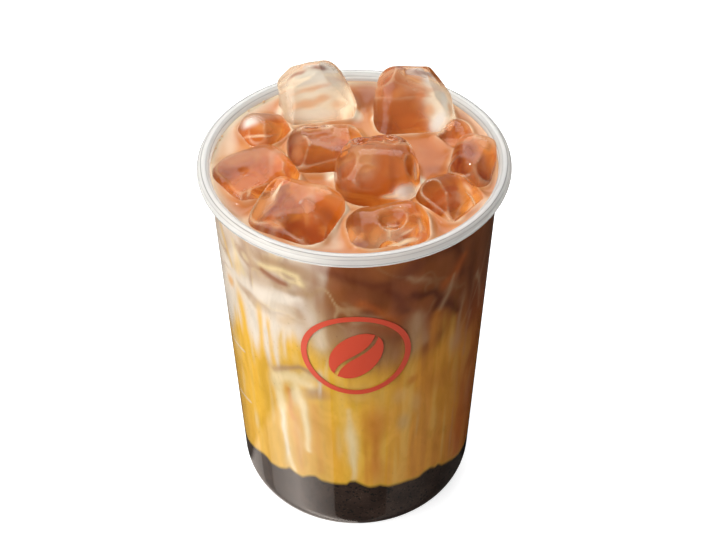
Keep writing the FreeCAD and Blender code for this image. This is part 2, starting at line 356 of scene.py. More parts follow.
def latte_surface():
    """The top of the drink, deeper in colour where the ice sits in it and pale where light gathers."""
    shader = Shader("milky coffee")
    swirl = shader.noise(70, detail=4, distortion=0.6)
    milky = shader.mix(shader.span(swirl, 0.35, 0.7), srgb(194, 108, 46), srgb(208, 136, 76))
    # cream at the wall and round the ice: partly milk at the drink's edge, partly painted highlight on the
    # climbing drink
    cream = shader.mix(shader.attribute("cream"), milky, srgb(240, 224, 192))
    smear = shader.noise(130, stretch=(1.6, 0.7, 1), detail=3, distortion=1.2)
    amber = shader.mix(shader.span(smear, 0.38, 0.66), srgb(202, 108, 36), srgb(230, 152, 66))
    deep = shader.mix(shader.attribute("deep"), cream, amber)
    gathered = shader.attribute("lit")
    shaded = shader.mix(shader.math("MULTIPLY", gathered, -1.0, clamp=True), deep, srgb(140, 58, 20))
    lit = shader.mix(shader.math("MULTIPLY", gathered, 1.0, clamp=True), shaded, srgb(255, 246, 220))
    return shader.finish(shader.surface(Base_Color=lit, Roughness=0.16, IOR=1.36, Specular_IOR_Level=0.28))


def wall_drink():
    """The drink as it shows through the wall, in the colours painted on it, with fine cloudy streaks."""
    shader = Shader("layered drink")
    paint = shader.node("ShaderNodeAttribute", attribute_name="paint").outputs["Color"]
    cloud = shader.noise(160, stretch=(1, 1, 2.5), detail=5, roughness=0.6, distortion=0.8)
    darker = shader.node("ShaderNodeHueSaturation")
    darker.inputs["Saturation"].default_value = 1.08
    darker.inputs["Value"].default_value = 0.72
    shader.join(paint, darker.inputs["Color"])
    shade = shader.span(cloud, 0.38, 0.72, 0.0, 0.5)
    colour = shader.mix(shade, paint, darker.outputs["Color"])
    specks = shader.noise(1400, detail=1)
    colour = shader.mix(shader.span(specks, 0.71, 0.78, 0.0, 0.35), colour, srgb(130, 84, 40))
    return shader.finish(shader.surface(Base_Color=colour, Roughness=0.4, IOR=1.36))


def dark_base():
    shader = Shader("dark base")
    cloud = shader.noise(140, detail=3)
    colour = shader.mix(shader.span(cloud, 0.35, 0.7), srgb(44, 28, 20), srgb(60, 42, 33))
    grain = shader.noise(900, detail=1)
    colour = shader.mix(shader.span(grain, 0.6, 0.65), colour, srgb(8, 4, 2))
    pale = shader.noise(1500, detail=1, shift=(3, 1, 2))
    colour = shader.mix(shader.span(pale, 0.66, 0.72, 0.0, 0.5), colour, srgb(96, 80, 66))
    return shader.finish(shader.surface(Base_Color=colour, Roughness=0.5, IOR=1.36))


# ---------------------------------------------------------------- cup

# painted shade lines round the roll, in place of fine turned ridges: place as a share of its outer side,
# depth of tone
PAINTED_RIM_SHADE_LINES = ((0.13, 0.5), (0.21, 1.0), (0.40, 0.45), (0.53, 0.9), (0.72, 0.4), (0.86, 0.7))


def make_cup():
    roll = ROLL / 2
    centre_r, centre_z = RIM_RADIUS - roll, WALL_TOP
    outline = bowl_outline(0.0, 0.0, WALL_TOP, 40)
    under_rim = len(outline) - 1
    sweep = math.pi + CURL_ANGLE
    for step in range(1, 29):
        angle = math.pi - sweep * step / 28
        inner = roll - WALL
        outline.append((centre_r + inner * math.cos(angle), centre_z + inner * math.sin(angle)))
    outside = len(outline)
    for step in range(65):
        angle = -CURL_ANGLE + sweep * step / 64
        outline.append((centre_r + roll * math.cos(angle), centre_z + roll * math.sin(angle)))
    inside = len(outline)
    outline += reversed(bowl_outline(WALL, FLOOR, WALL_TOP, 40)[:-1])
    around = 256
    cup = turned("cup_wall", outline, around)
    cup.data.materials.append(clear_plastic())
    cup.data.materials.append(rolled_rim())
    quads = (len(outline) - 3) * around
    for index, face in enumerate(cup.data.polygons):
        on_roll = index < quads and under_rim <= index // around + 1 < inside
        face.material_index = 1 if on_roll else 0
    # grey lines of painted shade round the roll
    line = np.zeros((len(outline) - 2, around))
    for share, tone in PAINTED_RIM_SHADE_LINES:
        row = outside - 1 + round(64 * share)
        line[row] = tone
        line[row - 1] = line[row + 1] = 0.4 * tone
    fill_attribute(cup, "line", np.append(line.ravel(), (0.0, 0.0)))
    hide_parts("cup")
    return cup


# ---------------------------------------------------------------- ice

# flats melted on a cube: bearing and steepness of the way each faces in degrees, depth in mm
FLATS = {
    "ice_back_left": ((10, 38, 0.9), (-90, 52, 2.6), (88, 46, 3.0), (-25, 70, 1.2), (80, 12, 1.0)),
    "ice_back_right": ((5, 40, 0.9), (86, 46, 4.4), (-88, 50, 1.6), (30, 66, 1.4), (75, 15, 1.2)),
    "ice_left": ((-35, 80, 1.7), (15, 40, 1.2), (80, 45, 1.0)),
    "ice_front_left": ((-60, 74, 1.6), (25, 44, 1.6), (-10, 60, 1.2), (120, 50, 0.8)),
    "ice_front": ((10, 66, 0.8), (90, 40, 1.0)),
    "ice_front_right": ((-30, 60, 1.4), (50, 55, 1.4), (150, 60, 1.2)),
    "ice_right": ((-50, 58, 1.2), (60, 50, 1.0)),
    "ice_left_small": ((-20, 60, 0.8), (60, 50, 1.0)),
    "ice_middle_left": ((0, 62, 1.2), (-70, 50, 1.6), (10, 24, 1.0), (90, 46, 1.2)),
    "ice_middle": ((0, 30, 0.7), (-75, 36, 1.0), (70, 30, 1.0)),
}
# scale of a cube's looks against its packed block, and their shift in mm
SWELL = {
    "ice_back_left": (1.05, 0.3, 0.0, 0.7),
    "ice_back_right": (1.09, 0.2, 0.0, 0.8),
    "ice_left_small": (1.14, -0.6, 0.0, 0.9),
    "ice_left": (1.05, 0.0, -0.6, 0.2),
    "ice_middle_left": (1.04, 0.0, 0.2, 0.4),
    "ice_middle": (1.03, 0.1, 0.0, 0.2),
    "ice_front_left": (1.05, 0.0, -1.0, 0.2),
    "ice_front": (1.06, 0.2, -0.2, 0.2),
    "ice_front_right": (1.06, 0.8, -0.4, 0.5),
    "ice_right": (1.08, 0.5, -0.3, 0.3),
    "ice_right_small": (1.15, 0.0, -1.2, 0.3),
}
ICE_REACH = 43.0 * MM       # farthest that the ice stands from the axis
ICE_GRID = 0.55 * MM        # size of the squares on the ice's skin
MELTED_OFF = 0.9            # share of what stands past a flat that melts away
TINTS = {
    "white": (255, 250, 242),
    "pale": (246, 234, 216),
    "cream": (250, 222, 182),
    "milky": (255, 240, 214),
    "fawn": (200, 128, 80),
    "orange": (226, 148, 84),
    "amber": (214, 112, 44),
    "caramel": (180, 94, 42),
    "brown": (132, 54, 22),
}
# milky veils on the ice, with painted highlights, painted reflections and the drink's colours painted as seen
# through it:
# tint, place across, place up a slope that leans back from the drink's middle, half width and half height in
# mm, tilt, strength
VEILS_AND_PAINTED_GLEAMS = {
    "ice_back_left": (
        ("milky", -12, 26, 11, 9, 0.0, 0.5), ("pale", -8, 27.6, 5, 2.6, 0.0, 0.55),
        ("orange", -14.6, 20.2, 4.4, 1.5, 0.2, 0.62), ("orange", -10, 22.2, 2.8, 1.2, 0.1, 0.55),
        ("orange", -4.6, 20.3, 2.6, 1.5, 0.0, 0.45), ("orange", -13, 25, 6, 0.8, 0.3, 0.4),
        ("pale", -12, 17, 9, 2.0, 0.05, 0.45), ("brown", -10.6, 31.8, 2.2, 0.9, 0.0, 0.8),
        ("brown", -17.6, 29.8, 2.8, 0.7, 0.5, 0.7),
    ),
    "ice_back_right": (
        ("milky", 27, 20, 6, 7, 0.0, 0.55), ("caramel", 15.2, 19.5, 7.6, 10.5, 0.12, 0.72),
        ("caramel", 12.4, 26.0, 3.6, 4.4, 0.3, 0.75), ("brown", 11.0, 25.4, 2.2, 3.0, 0.0, 0.45),
        ("orange", 19.4, 27.6, 3.0, 1.3, -0.2, 0.6), ("orange", 14, 23, 2.2, 1.6, 0.4, 0.3),
        ("amber", 20.6, 22.3, 1.6, 1.6, 0.0, 0.4), ("milky", 26.8, 22.3, 1.9, 1.8, 0.0, 0.75),
        ("amber", 18, 13.5, 5, 3, 0.0, 0.3), ("orange", 23.4, 17.6, 1.7, 1.6, 0.0, 0.5),
        ("white", 26.3, 14, 2.6, 3.2, 0.6, 0.8), ("white", 28.2, 21, 1.2, 3.4, 0.2, 0.5),
        ("orange", 30.2, 17.9, 0.9, 2.4, 0.0, 0.6), ("pale", 24.5, 25.6, 3, 1.5, -0.3, 0.6),
        ("brown", 13.9, 31, 2.0, 0.8, 0.0, 0.8), ("brown", 22.6, 29.4, 4.6, 0.9, -0.14, 0.6),
    ),
    "ice_left_small": (
        ("amber", -30.5, 9.4, 6.5, 5.5, 0.0, 0.62), ("orange", -28.6, 12.8, 4, 1.8, -0.2, 0.5),
        ("white", -31.8, 14, 2.6, 1.5, 0.2, 0.7), ("cream", -29.8, 9.6, 5, 0.35, 0.06, 0.65),
    ),
    "ice_left": (
        ("fawn", -33.5, 1.8, 8.5, 2.5, 0.3, 0.5), ("amber", -30.5, -5, 7.5, 4, 0.25, 0.5),
        ("amber", -36, -7.6, 4, 1.4, -0.4, 0.4), ("caramel", -32, -6, 3.4, 2.0, 0.2, 0.4),
        ("caramel", -25.6, -0.6, 2.0, 3.2, 0.3, 0.5), ("caramel", -33.4, -10, 2.6, 1.2, -0.3, 0.4),
        ("cream", -31.0, -8.6, 0.4, 1.5, -0.6, 0.6),
    ),
    "ice_middle_left": (
        ("fawn", -11, 7.6, 7, 1.7, 0.06, 0.5), ("fawn", -17, 3.6, 1.7, 3.2, 0.0, 0.45),
        ("brown", -15.4, 7.4, 1.1, 0.6, 0.0, 0.5), ("caramel", -8.5, 7.4, 1.8, 0.6, 0.0, 0.6),
        ("caramel", -11, 0.6, 6, 3.8, 0.0, 0.3), ("amber", -2.7, 8.8, 1.8, 1.6, 0.0, 0.4),
        ("caramel", -4.4, 4.4, 2.2, 2.2, 0.0, 0.55), ("brown", -4.2, 4.0, 1.6, 1.6, 0.0, 0.3),
        ("caramel", -4.6, 1.4, 2.4, 3.2, 0.0, 0.45),
    ),
    "ice_middle": (
        ("fawn", 8.6, 4.3, 7, 1.8, 0.1, 0.55), ("caramel", 4.1, 4.1, 1.9, 0.75, 0.0, 0.6),
        ("caramel", 13, 6.2, 1.7, 0.7, 0.0, 0.6), ("caramel", -1.2, -4.4, 1.9, 4.4, 0.2, 0.5),
        ("brown", -1.0, -4.4, 1.3, 3.0, 0.2, 0.3), ("caramel", 13.2, 1.4, 3.0, 2.4, -0.2, 0.6),
        ("brown", 13.4, 2.9, 2.2, 1.5, 0.0, 0.4), ("caramel", 0.8, -3, 2.2, 3, 0.0, 0.3),
        ("fawn", 7, -3, 9, 7, 0.0, 0.18), ("brown", 15.9, -4.2, 1.1, 2.8, 0.0, 0.3),
        ("pale", 17.8, -3, 0.7, 3, 0.0, 0.5), ("white", 14.8, -9.3, 3.3, 2.0, 0.12, 0.97),
        ("white", 16.4, -8, 1.0, 1.6, 0.0, 0.6), ("cream", 10.6, -10.6, 2.8, 0.7, 0.1, 0.6),
    ),
    "ice_front_left": (
        ("fawn", -17.6, -11.0, 3.8, 2.4, 0.7, 0.45), ("orange", -24.6, -12, 2.0, 2.4, 1.0, 0.5),
        ("cream", -22.2, -8.6, 1.5, 0.9, 1.4, 0.7), ("caramel", -18.5, -13.6, 2.4, 1.7, 0.2, 0.6),
        ("brown", -16.2, -14.4, 3.6, 1.6, 0.9, 0.35), ("brown", -18.8, -12.8, 1.9, 2.2, 0.8, 0.35),
        ("brown", -12.6, -13.0, 1.8, 2.0, 0.0, 0.3), ("orange", -8.6, -9, 2.8, 1.5, -0.5, 0.5),
        ("caramel", -9, -16.6, 3.2, 3.4, 0.0, 0.4), ("orange", -22.6, -18.8, 2.8, 1.2, -0.2, 0.5),
        ("white", -15.4, -12.4, 0.5, 0.6, 0.4, 0.35), ("caramel", -13.0, -13.4, 2.4, 2.0, -0.4, 0.7),
        ("amber", -24, -17, 2.6, 1.6, 0.5, 0.4), ("orange", -27.6, -14.5, 2.2, 3.2, 1.4, 0.6),
        ("orange", -13.6, -16, 1.0, 3.4, -0.4, 0.4),
    ),
    "ice_front": (
        ("fawn", 8.5, -19.6, 9.5, 4.2, 0.0, 0.3), ("caramel", 10.5, -17.4, 6.5, 1.8, 0.0, 0.5),
        ("caramel", 13.2, -16.2, 2.4, 1.5, 0.0, 0.5), ("brown", 13.0, -16.6, 2.2, 1.3, 0.0, 0.35),
        ("orange", -1.2, -22, 1.7, 2.4, 0.0, 0.6), ("orange", 1.6, -22.8, 1.6, 1.2, 0.3, 0.5),
        ("brown", 12.3, -18.8, 0.9, 0.6, 0.0, 0.7), ("cream", 18.6, -19.5, 0.6, 2.6, -0.2, 0.35),
        ("caramel", 16.8, -18, 1.6, 1.7, 0.0, 0.7), ("cream", 14.6, -21.4, 2.4, 0.5, 0.5, 0.4),
        ("cream", 9.5, -21.2, 0.5, 2.0, 0.6, 0.35), ("orange", 6, -22, 2, 2.4, 0.4, 0.5),
        ("caramel", 3.4, -19.5, 1.4, 2.4, 0.4, 0.4), ("cream", 13, -24.6, 4.4, 0.8, 0.3, 0.85),
    ),
    "ice_front_right": (
        ("amber", 27, -11.4, 6, 4, 0.0, 0.3), ("cream", 34.4, -12, 1.6, 0.7, -1.6, 0.7),
        ("caramel", 28.8, -15.8, 2.8, 1.7, 0.0, 0.6),
    ),
    "ice_right": (
        ("orange", 39, 5.6, 2, 1.8, -0.3, 0.6), ("caramel", 36.4, -1.6, 3.2, 5, 0.0, 0.4),
        ("caramel", 33.6, 3, 2.0, 3.4, 0.0, 0.55), ("brown", 34.8, 3.7, 1.9, 2.2, 0.0, 0.5),
        ("caramel", 38.2, -7.6, 2.4, 2.4, 0.0, 0.6),
    ),
    "ice_right_small": (("amber", 32, 8, 4, 5, 0.0, 0.4),),
}
# small hollows melted into a cube's top: place across and along, half width, depth in mm
HOLLOWS = {
    "ice_middle": ((1.5, -5.0, 2.4, 0.8), (11.0, -4.2, 2.2, 0.8)),
    "ice_middle_left": ((-15, 8.0, 2.0, 0.6), (-8.5, 9.0, 2.4, 0.7)),
    "ice_left": ((-33, -8, 1.5, 0.5),),
}


def flatten(mesh, bearing, steepness, depth):
    """Push back whatever stands past a plane a little inside the mesh's farthest point that way."""
    way = direction(bearing, steepness)
    limit = max(v.co.dot(way) for v in mesh.vertices) - depth * MM
    for vertex in mesh.vertices:
        past = vertex.co.dot(way) - limit
        if past > 0:
            vertex.co -= way * past * MELTED_OFF


EDGE_ROUND = (4.0, 1.3)     # a bend with the first radius in mm shows no painted edge highlight, the second a full one
# strength of the cream highlight painted along the ice's sharp edges
EDGE_HIGHLIGHT_STRENGTH = 0.24
VEIL_LEAN = math.radians(42)    # how far the slope that carries the veils leans back
VEIL_LIMIT = 0.95               # the ice never turns quite opaque


def edge_shares(mesh):
    """How sharply the mesh bends outward at each point, from 0 to 1."""
    count = len(mesh.vertices)
    ends = np.empty(len(mesh.edges) * 2, np.int32)
    mesh.edges.foreach_get("vertices", ends)
    first, second = ends.reshape(-1, 2).T
    places = np.array([v.co for v in mesh.vertices])
    normals = np.array([v.normal for v in mesh.vertices])
    step = places[second] - places[first]
    bend = np.sum((normals[second] - normals[first]) * step, 1) / np.sum(step * step, 1)
    joined = np.bincount(first, minlength=count) + np.bincount(second, minlength=count)
    bends = np.zeros(count)
    for _ in range(2):
        total = np.bincount(first, bend, count) + np.bincount(second, bend, count)
        bends = total / np.maximum(joined, 1)
        bend = (bends[first] + bends[second]) / 2
    low, high = (0.5 / (radius * MM) for radius in EDGE_ROUND)
    return smooth(bends, low, high)


def paint_veils_and_gleams(cube, veils_and_gleams, seed):
    """Paint the side of an ice cube that faces the front and up with milky veils, painted highlights and
    reflections and the drink's colours as seen through it, and give its sharp edges a painted highlight line.
    """
    edges = EDGE_HIGHLIGHT_STRENGTH * edge_shares(cube.data)
    pale = Vector(srgb(*TINTS["cream"])[:3])
    rise, run = math.sin(VEIL_LEAN), math.cos(VEIL_LEAN)
    facing = Vector((0, -run, rise))
    strengths, tints = [], []
    for vertex, edge in zip(cube.data.vertices, edges):
        x = vertex.co.x / MM
        up = (vertex.co.y * rise + (vertex.co.z - DRINK_LEVEL) * run) / MM
        x += 0.6 * noise.noise(vertex.co / (3.5 * MM) + seed)
        up += 0.5 * noise.noise(vertex.co / (3.5 * MM) - seed)
        front = min(1.0, max(0.0, 4 * vertex.normal.dot(facing)))
        strength, tint = 0.0, Vector((0, 0, 0))
        # each entry lays a milky veil, a painted highlight or reflection, or the drink's colour as seen
        # through the ice
        for name, across, level, wide, tall, tilt, share in veils_and_gleams:
            u = (x - across) / wide
            v = (up - level - tilt * (x - across)) / tall
            share *= front * math.exp(-(u * u + v * v) ** 1.6)
            strength = strength * (1 - share) + share
            tint = tint * (1 - share) + Vector(srgb(*TINTS[name])[:3]) * share
        # painted highlight in cream along the sharp edges
        strength = strength * (1 - edge) + edge
        tint = tint * (1 - edge) + pale * edge
        strengths.append(min(VEIL_LIMIT, strength))
        tints.append((*(tint / max(strength, 1e-6)), 1.0))
    fill_attribute(cube, "veil_and_gleam", strengths)
    fill_colours(cube, "veil_and_gleam_tint", tints)


def smoothed(cube, passes):
    """The cube's mesh with its modifiers applied and then smoothed; the modifiers are taken off."""
    smoothing = cube.modifiers.new("smooth", "SMOOTH")
    smoothing.iterations = passes
    smoothing.factor = 0.5
    mesh = applied(cube)
    cube.modifiers.clear()
    return mesh


def melted(node):
    """An ice cube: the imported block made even, smoothed and given a melted, slightly wavy skin."""
    cube = placed(node + "_melted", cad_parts[node].data.copy())
    weld = cube.modifiers.new("weld", "WELD")
    weld.merge_threshold = 0.01 * MM
    remesh = cube.modifiers.new("even", "REMESH")
    remesh.mode = "VOXEL"
    remesh.voxel_size = ICE_GRID
    even = smoothed(cube, 3)
    cube.data = even
    seed = Vector((ICE_NODES.index(node) * 7.3, 2.1, 5.7))
    normals = [v.normal.copy() for v in even.vertices]
    for vertex, normal in zip(even.vertices, normals):
        broad = noise.noise(vertex.co / (10 * MM) + seed)
        fine = noise.noise(vertex.co / (4.5 * MM) + seed)
        vertex.co += normal * (0.3 + 0.7 * broad + 0.25 * fine) * MM
    swell, *shift = SWELL[node]
    middle = sum((v.co for v in even.vertices), Vector()) / len(even.vertices)
    for vertex in even.vertices:
        vertex.co = middle + (vertex.co - middle) * swell + Vector(shift) * MM
    for flat in FLATS.get(node, ()):
        flatten(even, *flat)
    for vertex in even.vertices:
        out = math.hypot(vertex.co.x, vertex.co.y) / ICE_REACH
        if out > 1:
            vertex.co.x /= out
            vertex.co.y /= out
    for x, y, width, depth in HOLLOWS.get(node, ()):
        for vertex in even.vertices:
            away = math.hypot(vertex.co.x / MM - x, vertex.co.y / MM - y) / width
            if away < 2.5 and vertex.co.z > DRINK_LEVEL:
                lip = 0.35 * math.exp(-((away - 1.25) / 0.4) ** 2)
                vertex.co.z -= depth * MM * (math.exp(-away ** 2) - lip)
    cube.data = smoothed(cube, 1)
    paint_veils_and_gleams(cube, VEILS_AND_PAINTED_GLEAMS.get(node, ()), seed)
    cube.data.materials.clear()
    cube.data.materials.append(ICE)
    cube.data.shade_smooth()
    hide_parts(node)
    return cube


ICE = melting_ice()
cubes = {node: melted(node) for node in ICE_NODES}
cube_trees = {}
for node, cube in cubes.items():
    corners = [v.co for v in cube.data.vertices]
    cube_trees[node] = BVHTree.FromPolygons(corners, [p.vertices for p in cube.data.polygons])

# ---------------------------------------------------------------- drink

# light (above 0) and shade (below 0) seen through the ice on the drink behind it: place across, drop under
# the drink's level, half width and half height in mm, tilt, strength
GLOWS = {
    "ice_back_left": ((-12, -3, 11, 7, 0.0, 0.9), (-4, -4, 1.5, 3, 0.0, 1.0)),
    "ice_back_right": (
        (26.5, -4, 3.2, 4.5, 0.0, 1.15), (24.5, 0.4, 3.4, 2, -0.3, 0.9), (12.5, -3, 4, 5, 0.0, -0.4),
    ),
    "ice_left_small": ((-29, 0.6, 5, 1.8, 0.0, 0.5),),
    "ice_left": ((-31, -4.5, 4, 2.5, 0.2, 0.1), (-25, -4, 1, 4, 0.3, 0.3)),
    "ice_middle_left": (
        (-15, -2, 3, 1.5, 0.0, 0.25), (-9, -8.5, 4, 2, 0.0, -0.4), (-6, -3, 2, 3, 0.0, 0.15),
    ),
    "ice_middle": (
        (13.6, -6.2, 2.2, 1.5, 0.25, 1.2), (9.5, -7, 2.4, 0.8, 0.1, 0.6),
        (10.8, -2.6, 1.7, 2.8, 0.0, -0.5), (3.5, -2.5, 3, 2, 0.0, 0.22), (0.4, -6, 1.2, 3, 0.0, 0.3),
        (14.8, -2.8, 0.8, 2, 0.0, 0.4),
    ),
    "ice_front_left": (
        (-24.5, -3.5, 3, 2.6, 0.3, 0.5), (-22.5, -8.6, 3.6, 1.2, -0.1, 0.6),
        (-12.5, -3.5, 2.2, 3, 0.0, 0.3), (-15, -10, 4, 1.6, 0.0, -0.25), (-10, -6, 1.5, 3, 0.0, -0.4),
    ),
    "ice_front": (
        (10, -7.6, 6, 1.1, 0.08, 0.6), (1.6, -6, 1.8, 1.6, 0.0, 0.4), (12.5, -3.6, 4, 0.6, 0.25, 0.4),
        (4.5, -3, 2.5, 1.8, 0.0, -0.3), (11, -5.4, 3, 0.7, 0.0, -0.3),
    ),
    "ice_front_right": (
        (28, -6.3, 3, 0.9, 0.1, 0.3), (33, -2.6, 1.2, 1.0, 0.0, 0.5), (25, -3, 2, 2, 0.0, -0.2),
    ),
    "ice_right": ((36.5, -5.5, 1.3, 3, 0.0, 0.2), (35, -3, 1.6, 3, 0.0, -0.4)),
}
# light and shade on the open drink: place across and along, half width, half length in mm, strength
SURFACE_LIGHTS = (
    (4.5, 35, 5.5, 9, -0.75), (-19.5, 2.8, 2.5, 2.5, 0.12), (-31, 27, 5, 5, 0.1), (0.6, 25, 2.4, 3, 0.8),
    (-23.5, 27, 1.4, 3, 0.6), (6.3, 22.5, 1.0, 1.6, 0.7), (20.3, -9.5, 1.2, 2.5, 0.8),
    (-7, -6.5, 1.6, 2.2, 0.7), (-3.2, -22.4, 1.7, 3, 0.65), (29, 3, 5, 3, -0.2), (24, -20, 1.6, 2.4, 0.5),
    (-12, -38.5, 6, 1.2, 0.3), (-5, -37, 2.4, 2.4, 0.22), (40.8, -12.6, 2, 5, -0.3),
    (25, -3, 4, 2.6, -0.5), (22, 6, 3, 3, -0.15), (34, 24, 3, 4, -0.35), (14, 15.5, 4, 2, 0.35),
    (-33, -27, 4, 2.6, 0.3), (-13, 3.5, 1.6, 2, -0.3), (20, -25, 2, 3, 0.3), (-6, -31, 1.6, 5, 0.4),
    (-19.5, -6, 1.4, 4, 0.5), (38, -20, 3, 3, 0.25), (-38, 10, 2, 8, 0.3),
)
CLIMB = 1.2 * MM          # how high the drink climbs the ice
CLIMB_REACH = 1.4 * MM
WALL_CLIMB = 0.9 * MM
WALL_REACH = 1.3 * MM
POCKET_SLOPE = 2.2        # steepness of the drink's side under a cube's edge
POCKET_BLEND = 1.5 * MM   # roundness between a pocket's side and its floor
SKIN = 0.4 * MM           # how far the drink lies inside the ice
NEAR_ICE = 14 * MM        # a cube farther off doesn't touch the drink here


def glow(node, x, drop):
    """Light or shade behind a cube at a place across and a depth under the level."""
    x, drop = x / MM, drop / MM
    x += 0.7 * noise.noise(Vector((x, drop, 3)) / 2.5)
    drop += 0.6 * noise.noise(Vector((x, drop, 9)) / 2.5)
    total = 0.0
    for across, level, wide, tall, tilt, strength in GLOWS.get(node, ()):
        u = (x - across) / wide
        v = (drop - level - tilt * (x - across)) / tall
        share = strength * math.exp(-(u * u + v * v) ** 1.5)
        total = total * (1 - min(1.0, abs(share))) + share
    return total


def open_light(x, y):
    """Light or shade on the drink between the cubes."""
    x, y = x / MM, y / MM
    total = 0.0
    for across, along, wide, tall, strength in SURFACE_LIGHTS:
        total += strength * math.exp(-(((x - across) / wide) ** 2 + ((y - along) / tall) ** 2) ** 1.2)
    return max(-0.8, min(0.8, total))


def drink_surface(x, y, edge):
    """The drink's top at a point: height, share of depth under a cube, nearness to a cube's edge, glow."""
    reach = math.hypot(x, y)
    wave = 0.22 * MM * noise.noise(Vector((x, y, 0)) / (10 * MM))
    height = DRINK_LEVEL + wave + WALL_CLIMB * math.exp((reach - edge) / WALL_REACH)
    level = Vector((x, y, DRINK_LEVEL + 0.5 * MM))
    climb = 0.0
    pocket = 0.0
    holder = None
    for node, tree in cube_trees.items():
        place, normal, _, away = tree.find_nearest(level, NEAR_ICE)
        if place is None:
            continue
        if (level - place).dot(normal) > 0:
            climb = max(climb, math.exp(-away / CLIMB_REACH))
            continue
        climb = 1.0
        bottom = tree.ray_cast(level, Vector((0, 0, -1)))[0]
        if bottom is None:
            continue
        deepest = DRINK_LEVEL - bottom.z - SKIN
        slope = max(0.0, away - SKIN) * POCKET_SLOPE
        soft = max(0.0, POCKET_BLEND - abs(deepest - slope)) / POCKET_BLEND
        depth = min(deepest, slope) - soft * soft * POCKET_BLEND / 4
        if depth > pocket:
            pocket, holder = depth, node
    height += CLIMB * climb - pocket
    lit = glow(holder, x, height - DRINK_LEVEL) if holder else open_light(x, y)
    return height, min(1.0, pocket / (4 * MM)), climb ** 2 * (1 - min(1.0, pocket / MM)), lit


def round_noise(bearing, z, lumps, tall, seed):
    """Smooth noise on the wall, -1 to 1: so many lumps round the cup, each this tall."""
    table = np.random.default_rng(seed).uniform(-1, 1, (97, lumps))
    across, up = bearing / (2 * math.pi) * lumps, z / tall + 20
    column, row = np.floor(across).astype(int), np.floor(up).astype(int)
    across, up = across - column, up - row
    across, up = eased(across), eased(up)
    here, after = column % lumps, (column + 1) % lumps
    low = table[row % 97, here] * (1 - across) + table[row % 97, after] * across
    high = table[(row + 1) % 97, here] * (1 - across) + table[(row + 1) % 97, after] * across
    return low * (1 - up) + high * up


PAINTS = {
    "golden": (232, 179, 58),
    "deep gold": (224, 156, 46),
    "pale gold": (224, 180, 90),
    "ochre": (222, 150, 48),
    "amber": (201, 122, 42),
    "umber": (196, 96, 30),
    "coffee": (142, 76, 36),
    "dark coffee": (102, 46, 22),
    "red brown": (146, 78, 44),
    "fawn": (168, 130, 92),
    "tan": (196, 166, 130),
    "cream": (226, 202, 152),
    "milk": (228, 214, 196),
    # pale smoky brown; on the dark coffee at the right it also paints glints
    "smoke_and_glint": (190, 150, 112),
    "wisp": (206, 162, 98),
    "olive": (206, 160, 44),
    "dark olive": (78, 60, 24),
}

# where the coffee starts at the wall: bearing in degrees, height in mm
COFFEE_LINE = (
    (-180, 96), (-120, 92), (-85, 108), (-60, 122), (-30, 110), (-18, 99), (-8, 91), (2, 86), (14, 85),
    (26, 90), (38, 94), (47, 92), (58, 80), (72, 74), (100, 92), (140, 84), (180, 96),
)
# where the milk starts on the left
MILK_LINE = (
    (-180, 118), (-140, 106), (-110, 92), (-80, 80), (-70, 79), (-62, 86), (-55, 88), (-48, 86), (-36, 88),
    (-24, 93), (-17, 100), (-12, 114), (-7, 134), (10, 140), (60, 140), (85, 133), (110, 124), (145, 112),
    (180, 118),
)

# where the dark base ends
BASE_LINE = (
    (-180, 25), (-140, 27), (-110, 24), (-85, 21), (-70, 21.2), (-60, 24.0), (-52, 26.4), (-49, 26.4),
    (-46, 25.2), (-40, 26), (-36, 27.6), (-34, 29.2), (-31, 28), (-27, 27.2), (-23, 29.2), (-20, 29.8),
    (-17, 28.4), (-12, 28), (-5, 28.2), (-3, 29.9), (-1, 30), (3, 27.8), (6, 26.5), (9, 26.6), (11, 26.9),
    (15, 25.4), (25, 25.4), (31, 24.8), (34, 26.1), (38, 26.5), (41, 25), (43, 25.5), (46, 23.2),
    (52, 21.6), (55, 20.4), (62, 18.4), (70, 18), (90, 21), (120, 25), (150, 23), (180, 25),
)

